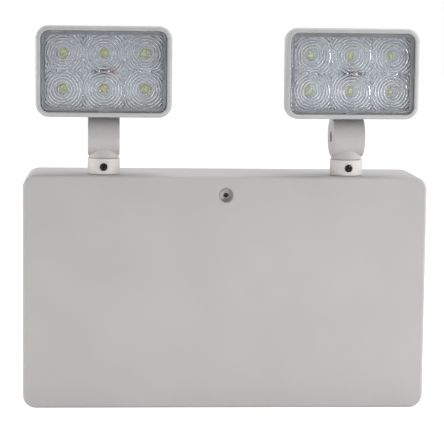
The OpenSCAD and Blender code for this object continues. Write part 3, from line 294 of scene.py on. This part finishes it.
# %% Boards, wires and rubber
RESIST_IOR, RESIST_TONE_MM = 1.5, 9
WEAVE_SCALE, WEAVE_WANDER = 100, 0.3
WEAVE_DEPTH_MM, WEAVE_RELIEF, WEAVE_SPREAD = 0.01, 0.1, 0.04
SLEEVE_IOR = 1.52
GRAIN_DEPTH_MM, GRAIN_RELIEF, GRAIN_SPREAD = 0.03, 0.2, 0.05


def coated_board(name, dark, light, roughness):
    """Circuit board: solder resist over a glass weave."""
    material, tree = new_material(name)
    place = place_of(tree)
    weave = add_node(tree, "ShaderNodeTexWave",
                     {"Scale": WEAVE_SCALE, "Distortion": WEAVE_WANDER},
                     {"Vector": place}, bands_direction="DIAGONAL").outputs["Fac"]
    tone = noise(tree, place, RESIST_TONE_MM, FINE_DETAIL)
    finish_material(tree, {"IOR": RESIST_IOR}, {
        "Base Color": tone_ramp(tree, tone, dark, light),
        "Roughness": varied_roughness(tree, weave, roughness, WEAVE_SPREAD),
        "Normal": bump_of(tree, weave, WEAVE_DEPTH_MM, WEAVE_RELIEF)})
    return material


def sleeve(name, dark, light, roughness, grain_mm):
    """Soft PVC or rubber skin of a wire or a bush."""
    material, tree = new_material(name)
    place = place_of(tree)
    grain = noise(tree, place, grain_mm, FINE_DETAIL)
    finish_material(tree, {"IOR": SLEEVE_IOR}, {
        "Base Color": tone_ramp(tree, grain, dark, light),
        "Roughness": varied_roughness(tree, grain, roughness, GRAIN_SPREAD),
        "Normal": bump_of(tree, grain, GRAIN_DEPTH_MM, GRAIN_RELIEF)})
    return material


white_board = coated_board("board_white_resist", "#E8EEF7", "#F0F5FB", 0.35)
green_board = coated_board("board_green_resist", "#1E5A38", "#256644", 0.35)
black_pvc = sleeve("pvc_black", "#161617", "#1E1E20", 0.35, 1)
red_pvc = sleeve("pvc_red", "#A51F1C", "#B92A25", 0.35, 1)
rubber = sleeve("rubber_black", "#1A1A1B", "#242425", 0.7, 0.6)
cell_sleeve = sleeve("pvc_shrink_blue", "#48688C", "#55779C", 0.3, 4)
copper_tape = sleeve("tape_polyester_amber", "#A8702C", "#BC8238", 0.25, 2)
print("boards:", white_board.name, green_board.name)

# %% [markdown]
# ## Finishes on the solids
#
# Each solid gets one of these finishes. The record groups the solids into material
# slots, so the finish is chosen by slot, and every solid of a slot matches. Only the
# collars are an exception: they get a lighter copy of the white, painted light for the side
# light on them.

# %% Give each solid its finish
FINISHES = {
    "housing_plastic": white_abs, "head_plastic": head_abs, "clear_lens": clear_lens,
    "zinc_screws": zinc_steel, "dark_screws": black_steel_painted_glints, "sheet_steel": sheet_steel,
    "turned_brass": brass, "copper_wire": copper_tape, "rubber": rubber,
    "cable_sheath": rubber, "black_wire": black_pvc, "red_wire": red_pvc,
    "green_board": green_board, "white_board": white_board, "led_yellow": cream_case,
    "dark_plastic": black_nylon_and_socket_shade, "blue_plastic": blue_case, "green_plastic": green_case,
    "cream_plastic": cream_case, "cell_sleeve": cell_sleeve,
    "button_plastic": grey_button, "red_plastic": red_acetal, "green_lens": green_lens,
}
slot_of = {part["node"]: part["material_slot"] for part in frame["record"]["subparts"]}
for name, solid in solids.items():
    solid.data.materials.clear()
    solid.data.materials.append(FINISHES[slot_of[name]])
# In this loop the collars get the lighter white, which is painted light.
for side in ("left", "right"):
    solids[side + "_collar"].data.materials[0] = collar_abs_painted_light
print("finished solids:", len(solids))

# %% [markdown]
# ## LED chips
#
# Each LED is a small white package with a round cup. The cup holds yellow phosphor under
# clear silicone, which bulges a little. CAD has one plain block for each LED, so this
# step builds the finer form in its place: a package with a chamfered top, and a low dome.

# %% LED finishes
SILICONE_IOR, SILICONE_GLOSS, SILICONE_ROUGHNESS = 1.41, 0.6, 0.08
PHOSPHOR_TONE_MM, PHOSPHOR_GRAIN_MM = 0.5, 0.3
PHOSPHOR_ROUGHNESS, PHOSPHOR_SPREAD = 0.3, 0.05


def phosphor(name, dark, light):
    """Yellow phosphor seen through soft silicone: glossy outside, grainy inside."""
    material, tree = new_material(name)
    place = place_of(tree)
    grain = noise(tree, place, PHOSPHOR_GRAIN_MM)
    finish_material(tree, {"IOR": SILICONE_IOR, "Coat Weight": SILICONE_GLOSS,
                           "Coat Roughness": SILICONE_ROUGHNESS}, {
        "Base Color": tone_ramp(tree, noise(tree, place, PHOSPHOR_TONE_MM), dark, light),
        "Roughness": varied_roughness(tree, grain, PHOSPHOR_ROUGHNESS, PHOSPHOR_SPREAD)})
    return material


package_white = moulded_plastic("led_package_white", "#E6E7E2", "#EEEFEA", 0.3, 0.3)
led_phosphor = phosphor("led_phosphor_yellow", "#DCDF92", "#EAEDAE")
print("LED finishes:", package_white.name, led_phosphor.name)

# %% [markdown]
# Small turned and moulded forms are all built in the same way here: closed rows of
# vertices, one above the other, that are joined into a skin. Blender's own cylinders would
# do for plain steps, but rows also give chamfers, domes and sockets.

# %% Rows and skins
def ring_of(mesh, radius, height, count, corner=None):
    """A closed row of vertices: a circle, or a square with cut corners.

    The corner is what |x| + |y| may reach in a square whose half side is 1.
    """
    row = []
    for i in range(count):
        angle = 2 * math.pi * (i + 0.5) / count
        x, y = math.cos(angle), math.sin(angle)
        if corner:
            reach = min(1 / max(abs(x), abs(y)), corner / (abs(x) + abs(y)))
            x, y = x * reach, y * reach
        row.append(mesh.verts.new((radius * x, radius * y, height)))
    return row


def wall(mesh, rows, material_index=0):
    """Joins rows of vertices into a wall that is open at both ends."""
    for low, high in zip(rows, rows[1:]):
        for i in range(len(low)):
            j = (i + 1) % len(low)
            mesh.faces.new((low[i], low[j], high[j], high[i])).material_index = material_index


def skin(mesh, rows, material_index=0):
    """Joins rows of vertices into a wall and closes its top."""
    wall(mesh, rows, material_index)
    mesh.faces.new(rows[-1]).material_index = material_index


trial = bmesh.new()
skin(trial, [ring_of(trial, 1, height, 8) for height in (0, 1)])
print("faces of a closed eight-sided prism without a base:", len(trial.faces))
trial.free()

# %% [markdown]
# The package is a square with cut corners, drawn as a ring whose points are pushed out to
# the square. The cup is sunk into its top, and the dome of silicone rises out of the cup.

# %% LED shape
LED_SIDE, LED_HEIGHT, LED_CHAMFER = 3.5 * MM, 0.8 * MM, 0.12 * MM
LED_CORNER = 1.86
LED_SIDES = 32
DOME_RADIUS, DOME_HEIGHT, DOME_SUNK = 1.35 * MM, 0.45 * MM, 0.05 * MM
DOME_ROWS = 7
CUP_RADIUS, CUP_FOOT, CUP_DEPTH = DOME_RADIUS + 0.15 * MM, DOME_RADIUS + 0.05 * MM, 0.08 * MM


def led_mesh():
    """One LED package, standing on z = 0 and facing +z."""
    mesh = bmesh.new()
    half = LED_SIDE / 2
    skin(mesh, [
        ring_of(mesh, half, 0, LED_SIDES, LED_CORNER),
        ring_of(mesh, half, LED_HEIGHT - LED_CHAMFER, LED_SIDES, LED_CORNER),
        ring_of(mesh, half - LED_CHAMFER, LED_HEIGHT, LED_SIDES, LED_CORNER),
        ring_of(mesh, CUP_RADIUS, LED_HEIGHT, LED_SIDES),
        ring_of(mesh, CUP_FOOT, LED_HEIGHT - CUP_DEPTH, LED_SIDES)])
    dome = []
    for i in range(DOME_ROWS):
        tilt = math.pi / 2 * i / DOME_ROWS
        height = LED_HEIGHT - DOME_SUNK + DOME_HEIGHT * math.sin(tilt)
        dome.append(ring_of(mesh, DOME_RADIUS * math.cos(tilt), height, LED_SIDES))
    skin(mesh, dome, 1)
    return mesh


print("LED:", round(LED_SIDE / MM, 2), "mm wide,",
      round((LED_HEIGHT - DOME_SUNK + DOME_HEIGHT) / MM, 2), "mm high")

# %% [markdown]
# The heads stand 83 mm to each side, and the right one is turned 3 degrees. One matrix
# for each head carries shapes drawn face up into its place. A new piece is made with its
# finishes, shaded smooth but for edges over 35 degrees, and told which body carries it.

# %% Place the LEDs
HEAD_HEIGHT = 149.9 * MM
ARM_OUT = -47 * MM
BOARD_FRONT = 9.5 * MM
LED_STEP_X = 27.6 * MM
LED_STEP_Y = 24 * MM
LED_PLACES = [(column * LED_STEP_X, row * LED_STEP_Y)
              for column in (-1, 0, 1) for row in (-0.5, 0.5)]
HEADS = {"left": (-83 * MM, 0), "right": (83 * MM, math.radians(3))}
FACE_FRONT = Matrix.Rotation(math.radians(90), 4, "X")
SHARP_ANGLE = math.radians(35)


def head_matrix(side):
    """Carries x right, y up, z out of a head's middle into the object's frame."""
    x, turn = HEADS[side]
    return (Matrix.Translation((x, ARM_OUT, HEAD_HEIGHT))
            @ Matrix.Rotation(turn, 4, "Z") @ FACE_FRONT)


def piece_from(mesh, name, materials, body):
    """Makes a smooth object of a mesh, with its finishes, on the body that carries it."""
    data = bpy.data.meshes.new(name)
    mesh.to_mesh(data)
    mesh.free()
    data.polygons.foreach_set("use_smooth", [True] * len(data.polygons))
    data.set_sharp_from_angle(angle=SHARP_ANGLE)
    for material in materials:
        data.materials.append(material)
    piece = bpy.data.objects.new(name, data)
    bpy.context.collection.objects.link(piece)
    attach(piece, body)
    return piece


def add_copy(whole, part, matrix):
    """Adds a copy of one mesh, carried by a matrix, to another."""
    data = bpy.data.meshes.new("copy")
    part.to_mesh(data)
    data.transform(matrix)
    whole.from_mesh(data)
    bpy.data.meshes.remove(data)


for side in HEADS:
    whole, one = bmesh.new(), led_mesh()
    for x, y in LED_PLACES:
        add_copy(whole, one, head_matrix(side) @ Matrix.Translation((x, y, BOARD_FRONT)))
    one.free()
    leds = piece_from(whole, side + "_led_packages", [package_white, led_phosphor],
                      side + "_head")
    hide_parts(side + "_leds")
    print(side, "leds:", len(leds.data.polygons), "faces")

# %% [markdown]
# ## Solder joints
#
# The two leads of a head end on pads in the middle of its board, each under a shiny
# hill of solder. A hill is a dome that is longer than it is wide and flows out flat at
# its foot, so its outline is a cosine and not a half circle.

# %% Solder the leads
PAD_OFFSET = 7.2 * MM
HILL_LENGTH, HILL_WIDTH, HILL_HEIGHT = 3.2 * MM, 2.6 * MM, 1.3 * MM
HILL_ROWS, HILL_SIDES = 9, 28


def solder_hill():
    """A hill of solder on z = 0."""
    mesh = bmesh.new()
    rows = []
    for i in range(HILL_ROWS):
        out = 1 - i / HILL_ROWS
        height = HILL_HEIGHT * (0.5 + 0.5 * math.cos(math.pi * out))
        row = ring_of(mesh, 1, height, HILL_SIDES)
        for vertex in row:
            vertex.co.x *= out * HILL_LENGTH / 2
            vertex.co.y *= out * HILL_WIDTH / 2
        rows.append(row)
    skin(mesh, rows)
    return mesh


for side in HEADS:
    whole, one = bmesh.new(), solder_hill()
    for end in (-1, 1):
        place = Matrix.Translation((end * PAD_OFFSET, 0, BOARD_FRONT))
        add_copy(whole, one, head_matrix(side) @ place)
    one.free()
    joints = piece_from(whole, side + "_solder_joints", [solder], side + "_head")
print("solder joints:", 2 * len(HEADS))

# %% [markdown]
# ## Ringed lenses
#
# Round each LED the rear of the real lens is moulded into rounded rings, 2 mm apart. They
# give the lamp its sparkle: each ring bends what lies behind it, and somewhere on its
# slope it catches a lamp as a short bright stroke. CAD has the rings as plain ridges. A
# bump map could round them off, but it wouldn't move what is seen through them. So here
# the rear face is one skin of points on rays from each LED, which keeps every ring a
# smooth round bead. In front of the LED itself the rings give way to a small round
# button, a burning glass that makes the LED look twice its size. The photo doesn't show
# this button. It is a guess that gives the LEDs the width that they have there.

# %% Shape of a ring
LENS_WIDTH, LENS_HEIGHT, LENS_CORNER = 83.0 * MM, 53.0 * MM, 4.9 * MM
LENS_FRONT, LENS_BACK = 20.2 * MM, 17.7 * MM
RING_STEP, RING_HEIGHT, RING_MARGIN = 2.0 * MM, 0.57 * MM, 2.4 * MM
BEAD_CURVE = 1.2
BUTTON_RADIUS, BUTTON_HEIGHT = 4.0 * MM, 0.95 * MM
PRINTED_STEPS = 8
PATTERN_X = LENS_WIDTH / 2 - RING_MARGIN
PATTERN_Y = LENS_HEIGHT / 2 - RING_MARGIN
COLUMN_EDGES = (-PATTERN_X, -LED_STEP_X / 2, LED_STEP_X / 2, PATTERN_X)
ROW_EDGES = (-PATTERN_Y, 0, PATTERN_Y)


def bead_depth(radius):
    """How far the rings stand out of the lens at a distance from their LED."""
    if radius < BUTTON_RADIUS:
        return BUTTON_HEIGHT * (1 - (radius / BUTTON_RADIUS) ** 2)
    off_crest = abs((radius / RING_STEP) % 1 - 0.5) * 2
    valley = math.sqrt(BEAD_CURVE ** 2 - 1)
    rise = math.sqrt(BEAD_CURVE ** 2 - off_crest ** 2) - valley
    return RING_HEIGHT * rise / (BEAD_CURVE - valley)


across_ring = [BUTTON_RADIUS + i * RING_STEP / PRINTED_STEPS for i in range(PRINTED_STEPS)]
print("depth across one ring:", [round(bead_depth(r) / MM, 2) for r in across_ring])

# %% [markdown]
# The rings of one LED fill a rectangle. Points stand along the rim of that rectangle, and
# each is joined to the LED by a ray with six points to a ring. Neighbouring rays are then
# closed with faces. Where one ray is longer, its last faces fan out from the end of the
# shorter one.

# %% Rings round one LED
RING_SAMPLES = 6
SIDE_SAMPLE = 0.7 * MM


def spread(low, high):
    """Points from low to just before high, about one sample apart."""
    count = max(2, round((high - low) / SIDE_SAMPLE))
    return [low + (high - low) * i / count for i in range(count)]


def rectangle_rim(columns, rows):
    """Points round a rectangle, given the edges of the fields along its sides."""
    across = [x for low, high in zip(columns, columns[1:]) for x in spread(low, high)]
    upward = [y for low, high in zip(rows, rows[1:]) for y in spread(low, high)]
    return ([(x, rows[0]) for x in across] + [(columns[-1], y) for y in upward]
            + [(x, rows[-1]) for x in reversed(across[1:] + [columns[-1]])]
            + [(columns[0], y) for y in reversed(upward[1:] + [rows[-1]])])


def ring_field(mesh, led, columns, rows):
    """Skins one rectangle with the rings round its LED, along rays to its rim."""
    middle = mesh.verts.new((*led, LENS_BACK - bead_depth(0)))
    rays = []
    for point in rectangle_rim(columns, rows):
        limit = math.dist(led, point)
        count = int(limit / RING_STEP * RING_SAMPLES)
        steps = [i * RING_STEP / RING_SAMPLES for i in range(1, count)]
        rays.append([middle] + [mesh.verts.new((
            led[0] + (point[0] - led[0]) * radius / limit,
            led[1] + (point[1] - led[1]) * radius / limit,
            LENS_BACK - bead_depth(radius))) for radius in steps + [limit]])
    for ray, after in zip(rays, rays[1:] + rays[:1]):
        for i in range(max(len(ray), len(after)) - 1):
            corners = (ray[min(i, len(ray) - 1)], ray[min(i + 1, len(ray) - 1)],
                       after[min(i + 1, len(after) - 1)], after[min(i, len(after) - 1)])
            distinct = list(dict.fromkeys(corners))
            if len(distinct) > 2:
                mesh.faces.new(distinct)


print("rim points of one field:", len(rectangle_rim(COLUMN_EDGES[:2], ROW_EDGES[:2])))

# %% [markdown]
# The fields meet without a step, because neighbouring LEDs are equally far from the line
# between them. Round them the lens has a flat margin, then its outer wall with the four
# tabs that reach the frame, and a slightly broken edge in front. The wall is tinted grey:
# painted shade for the dark shadow gap round the lens.

# %% Outline and body of the lens
TAB_WIDTH, TAB_LENGTH = 8.5 * MM, 0.7 * MM
BROKEN_EDGE = 0.25 * MM
NOT_ZERO = 1e-9
WELD = 0.004 * MM
WALL_NORMAL_Z = 0.2


def outline_point(x, y):
    """Where the ray through a point leaves the lens."""
    half_w, half_h = LENS_WIDTH / 2, LENS_HEIGHT / 2
    scale = min(half_w / max(abs(x), NOT_ZERO), half_h / max(abs(y), NOT_ZERO))
    corner_x, corner_y = half_w - LENS_CORNER, half_h - LENS_CORNER
    if abs(x * scale) > corner_x and abs(y * scale) > corner_y:
        along = abs(x) * corner_x + abs(y) * corner_y
        square = x * x + y * y
        rest = corner_x ** 2 + corner_y ** 2 - LENS_CORNER ** 2
        scale = (along + math.sqrt(along * along - square * rest)) / square
    out_x, out_y = x * scale, y * scale
    if abs(out_y) < TAB_WIDTH / 2:
        out_x += math.copysign(TAB_LENGTH, x)
    elif abs(out_x) < TAB_WIDTH / 2:
        out_y += math.copysign(TAB_LENGTH, y)
    return out_x, out_y


def lens_mesh():
    """The whole lens of one head, front towards +z."""
    mesh = bmesh.new()
    for i, led in enumerate(LED_PLACES):
        column, row = divmod(i, 2)
        ring_field(mesh, led, COLUMN_EDGES[column:column + 2], ROW_EDGES[row:row + 2])
    rim = rectangle_rim(COLUMN_EDGES, ROW_EDGES)
    nearest = [min(math.dist(point, led) for led in LED_PLACES) for point in rim]
    outer = [outline_point(*point) for point in rim]
    inset = [1 - BROKEN_EDGE / math.hypot(*point) for point in outer]
    rows = [
        [(x, y, LENS_BACK - bead_depth(radius)) for (x, y), radius in zip(rim, nearest)],
        [(x, y, LENS_BACK) for x, y in rim],
        [(x, y, LENS_BACK) for x, y in outer],
        [(x, y, LENS_FRONT - BROKEN_EDGE) for x, y in outer],
        [(x * keep, y * keep, LENS_FRONT) for (x, y), keep in zip(outer, inset)],
    ]
    skin(mesh, [[mesh.verts.new(point) for point in row] for row in rows])
    bmesh.ops.remove_doubles(mesh, verts=mesh.verts, dist=WELD)
    bmesh.ops.recalc_face_normals(mesh, faces=mesh.faces)
    # The faces of the outer wall get the second finish, a grey tint that is painted shade.
    for face in mesh.faces:
        in_wall = face.calc_center_median().z > LENS_BACK
        if in_wall and abs(face.normal.z) < WALL_NORMAL_Z:
            face.material_index = 1
    return mesh


# The grey tint of the lens wall is painted shade, for the shadow in the gap round the lens.
lens_edge_painted_shade = clear_plastic("polycarbonate_edge_painted_shade", "#84888D", 0.5, 6)
for side in HEADS:
    whole, one = bmesh.new(), lens_mesh()
    add_copy(whole, one, head_matrix(side))
    one.free()
    lens = piece_from(whole, side + "_ringed_lens", [clear_lens, lens_edge_painted_shade],
                      side + "_head")
    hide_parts(side + "_lens")
    print(side, "lens:", len(lens.data.polygons), "faces")

# %% [markdown]
# ## Cover screw
#
# One screw holds the cover, in a round recess. The photo shows it as a grey round with a
# small dark hole. It is read here as a steel head that nearly fills the recess and is
# dished, with a socket for a hexagon key in the middle. The grey may as well be
# plastic with the screw deep in it, so this reading is open. CAD has a plain stepped pin
# with a smaller head. A screw is a turned part, so here it is a profile spun round its
# axis, row by row, and only the socket leaves the round. Its thread is a stack of rings
# and no helix, because it sits out of sight in its insert.

# %% Cover screw
SCREW_PLACE = (0, -55.5 * MM, 66.8 * MM)
SCREW_SIDES = 48
SCREW_TIP, TIP_TAPER = -12.0 * MM, 0.8
THREAD_RADIUS, THREAD_ROOT, THREAD_PITCH = 2.0 * MM, 1.69 * MM, 0.7 * MM
HEAD_RADIUS, HEAD_TOP, HEAD_EDGE = 4.55 * MM, 3.5 * MM, 0.1 * MM
RIM_WIDTH, RIM_DROP = 0.3 * MM, 0.05 * MM
DISH_RADIUS, DISH_FLOOR, DISH_STEPS = 1.95 * MM, 2.5 * MM, 5
SOCKET_HALF, SOCKET_FLOOR, SOCKET_EDGE = 1.5 * MM, 0.6 * MM, 0.08 * MM


def hexagon_of(mesh, half_width, height):
    """A closed row of vertices round a hexagon."""
    row = ring_of(mesh, half_width, height, SCREW_SIDES)
    for vertex in row:
        angle = math.atan2(vertex.co.y, vertex.co.x) % math.radians(60) - math.radians(30)
        vertex.co.x /= math.cos(angle)
        vertex.co.y /= math.cos(angle)
    return row


def screw_profile():
    """Radius and height of each round row, from the tip to the foot of the dish."""
    profile = [(THREAD_ROOT * TIP_TAPER, SCREW_TIP)]
    for turn_number in range(1, int(-SCREW_TIP / THREAD_PITCH)):
        height = SCREW_TIP + turn_number * THREAD_PITCH
        profile += [(THREAD_RADIUS, height), (THREAD_ROOT, height + THREAD_PITCH / 2)]
    profile += [(THREAD_RADIUS, 0), (HEAD_RADIUS - HEAD_EDGE, 0), (HEAD_RADIUS, HEAD_EDGE),
                (HEAD_RADIUS, HEAD_TOP - HEAD_EDGE), (HEAD_RADIUS - HEAD_EDGE, HEAD_TOP),
                (HEAD_RADIUS - RIM_WIDTH, HEAD_TOP)]
    outer, top = HEAD_RADIUS - RIM_WIDTH, HEAD_TOP - RIM_DROP
    for i in range(DISH_STEPS + 1):
        fall = math.sin(math.pi / 2 * i / DISH_STEPS)
        profile.append((outer + (DISH_RADIUS - outer) * i / DISH_STEPS,
                        top - (top - DISH_FLOOR) * fall))
    return profile


def dished_screw():
    """Screw with a dished head that stands on z = 0, its thread pointing down."""
    mesh = bmesh.new()
    rows = [ring_of(mesh, radius, height, SCREW_SIDES) for radius, height in screw_profile()]
    rows.append(hexagon_of(mesh, SOCKET_HALF + SOCKET_EDGE, DISH_FLOOR))
    mesh.faces.new(rows[0][::-1])
    wall(mesh, rows)
    skin(mesh, [rows[-1], hexagon_of(mesh, SOCKET_HALF, DISH_FLOOR - SOCKET_EDGE),
                hexagon_of(mesh, SOCKET_HALF, SOCKET_FLOOR)], 1)
    return mesh


whole, one = bmesh.new(), dished_screw()
add_copy(whole, one, Matrix.Translation(SCREW_PLACE) @ FACE_FRONT)
one.free()
# The socket's walls and floor take the black: painted shade for the dark of the deep socket.
screw = piece_from(whole, "dished_head_screw", [screw_steel, black_nylon_and_socket_shade], "housing")
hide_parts("cover_screw")
print("cover screw:", len(screw.data.polygons), "faces")

# %% [markdown]
# ## Floor and background
#
# The photo shows the object on plain white. The floor is a large pale sheet under the
# box. Its own glow keeps it white to the camera, and the rest of its brightness is
# reflected light, so that the object still leaves a soft shadow on it. The same white
# shows in mirrored rays and through the lenses, but it lights nothing: a ray that has
# bounced off a matt surface finds the plain sheet. The floor lies in the plane of the
# underside, so a picture from below needs it hidden.

# %% Which rays see the background
BEFORE_A_BOUNCE = 0.5


def combine(tree, operation, first, second):
    """One step of arithmetic on two values."""
    return add_node(tree, "ShaderNodeMath", links={0: first, 1: second},
                    operation=operation).outputs["Value"]


def seen_ray(tree):
    """1 for rays that show the background: straight, mirrored or through the lens."""
    rays = add_node(tree, "ShaderNodeLightPath").outputs
    through = combine(tree, "MAXIMUM", rays["Is Glossy Ray"], rays["Is Transmission Ray"])
    undimmed = add_node(tree, "ShaderNodeMath", {1: BEFORE_A_BOUNCE},
                        {0: rays["Diffuse Depth"]}, operation="LESS_THAN").outputs["Value"]
    return combine(tree, "MINIMUM", undimmed,
                   combine(tree, "MAXIMUM", rays["Is Camera Ray"], through))


print("helpers: combine, seen_ray")

# %% [markdown]
# The floor's material mixes two surfaces by the kind of ray: the glowing one for rays that
# show the background, the plain one for all others. A single glowing sheet would be
# simpler, but it would light the object from below.

# %% Floor
FLOOR_HEIGHT = -80.0 * MM
FLOOR_REACH = 6.0
FLOOR_GLOW = 0.84
FLOOR_GRAIN_MM = 400

floor_material, tree = new_material("floor_pale")
grain = noise(tree, place_of(tree), FLOOR_GRAIN_MM)
diffuse = add_node(tree, "ShaderNodeBsdfDiffuse",
                   links={"Color": tone_ramp(tree, grain, "#BDBDBD", "#C2C2C2")})
glow = add_node(tree, "ShaderNodeEmission",
                {"Color": linear("#FFFFFF"), "Strength": FLOOR_GLOW})
both = add_node(tree, "ShaderNodeAddShader")
tree.links.new(diffuse.outputs["BSDF"], both.inputs[0])
tree.links.new(glow.outputs["Emission"], both.inputs[1])
plain = add_node(tree, "ShaderNodeBsdfDiffuse", {"Color": linear("#F0F0F0")})
mix = add_node(tree, "ShaderNodeMixShader", links={"Fac": seen_ray(tree)})
tree.links.new(plain.outputs["BSDF"], mix.inputs[1])
tree.links.new(both.outputs["Shader"], mix.inputs[2])
add_node(tree, "ShaderNodeOutputMaterial", links={"Surface": mix.outputs["Shader"]})

floor_mesh = bpy.data.meshes.new("floor")
floor_mesh.from_pydata([(x * FLOOR_REACH, y * FLOOR_REACH, FLOOR_HEIGHT)
                        for x, y in ((-1, -1), (1, -1), (1, 1), (-1, 1))], [], [(0, 1, 2, 3)])
floor_mesh.materials.append(floor_material)
floor = bpy.data.objects.new("floor", floor_mesh)
bpy.context.collection.objects.link(floor)
print("floor at", FLOOR_HEIGHT, "m")

# %% [markdown]
# The world is a white backdrop behind and beside the object and a dimmer room in front
# of it, where the camera stands. The clear lenses mirror that room, so it decides how
# grey they look. As a lamp the world is dim and even, so that the panels give the shape.

# %% World
WORLD_LIGHT = 0.46
ROOM_EDGE, BACKDROP_EDGE = -0.2, 0.2

world = bpy.data.worlds.new("studio")
bpy.context.scene.world = world
world.use_nodes = True
tree = world.node_tree
tree.nodes.clear()
toward = add_node(tree, "ShaderNodeSeparateXYZ", links={
    "Vector": add_node(tree, "ShaderNodeTexCoord").outputs["Generated"]}).outputs["Y"]
backdrop = add_node(tree, "ShaderNodeMapRange",
                    {"From Min": ROOM_EDGE, "From Max": BACKDROP_EDGE},
                    {"Value": toward}, interpolation_type="SMOOTHSTEP").outputs["Result"]
mirrored = combine(tree, "MINIMUM", backdrop, seen_ray(tree))
camera_ray = add_node(tree, "ShaderNodeLightPath").outputs["Is Camera Ray"]
strength = add_node(tree, "ShaderNodeMapRange", {"To Min": WORLD_LIGHT, "To Max": 1.0},
                    {"Value": combine(tree, "MAXIMUM", camera_ray, mirrored)})
sky = add_node(tree, "ShaderNodeBackground", {"Color": linear("#FFFFFF")},
               {"Strength": strength.outputs["Result"]})
add_node(tree, "ShaderNodeOutputWorld", links={"Surface": sky.outputs["Background"]})
print("world light:", WORLD_LIGHT)

# %% [markdown]
# ## Studio light
#
# In the photo the sides of the collars and the top of the box are bright, and the front
# is a little brighter on the right. So large soft panels stand on both sides and above,
# and the two small ones in front are weak and on the right. A white card on the table,
# here a long narrow lamp, lifts the lower edge of the front, as photographers do. Smaller
# and stronger panels would also give these tones, but they burn out in the top faces, seen
# from the side. Each line gives a lamp's place, width and height in metres, and its power
# in watts. All of it was set by comparing tones with the photo.

# %% Lamps
LAMPS = {
    "left_panel": ((-1.5, -0.1, 0.2), 1.0, 1.0, 15.5),
    "right_panel": ((1.5, -0.1, 0.35), 1.1, 1.1, 10.0),
    "top_panel": ((0.4, 0.1, 1.8), 1.2, 1.2, 19.0),
    "right_strip": ((1.05, -0.95, 0.15), 0.35, 0.35, 3.4),
    "near_panel": ((0.7, -0.45, 0.4), 0.2, 0.2, 1.0),
    "table_card": ((0.0, -0.26, -0.071), 0.6, 0.012, 0.14),
}
AIM = Vector((0, -0.03, 0.03))
for name, (place, width, height, power) in LAMPS.items():
    lamp_data = bpy.data.lights.new(name, "AREA")
    lamp_data.shape = "RECTANGLE"
    lamp_data.size, lamp_data.size_y = width, height
    lamp_data.energy = power
    lamp = bpy.data.objects.new(name, lamp_data)
    lamp.location = place
    lamp.rotation_euler = (AIM - Vector(place)).to_track_quat("-Z", "Y").to_euler()
    bpy.context.collection.objects.link(lamp)
    print(name, power, "W")

# %% [markdown]
# ## Colour management
#
# The standard view shows a colour as it is written.

# %% Finish
bpy.context.scene.view_settings.view_transform = "Standard"
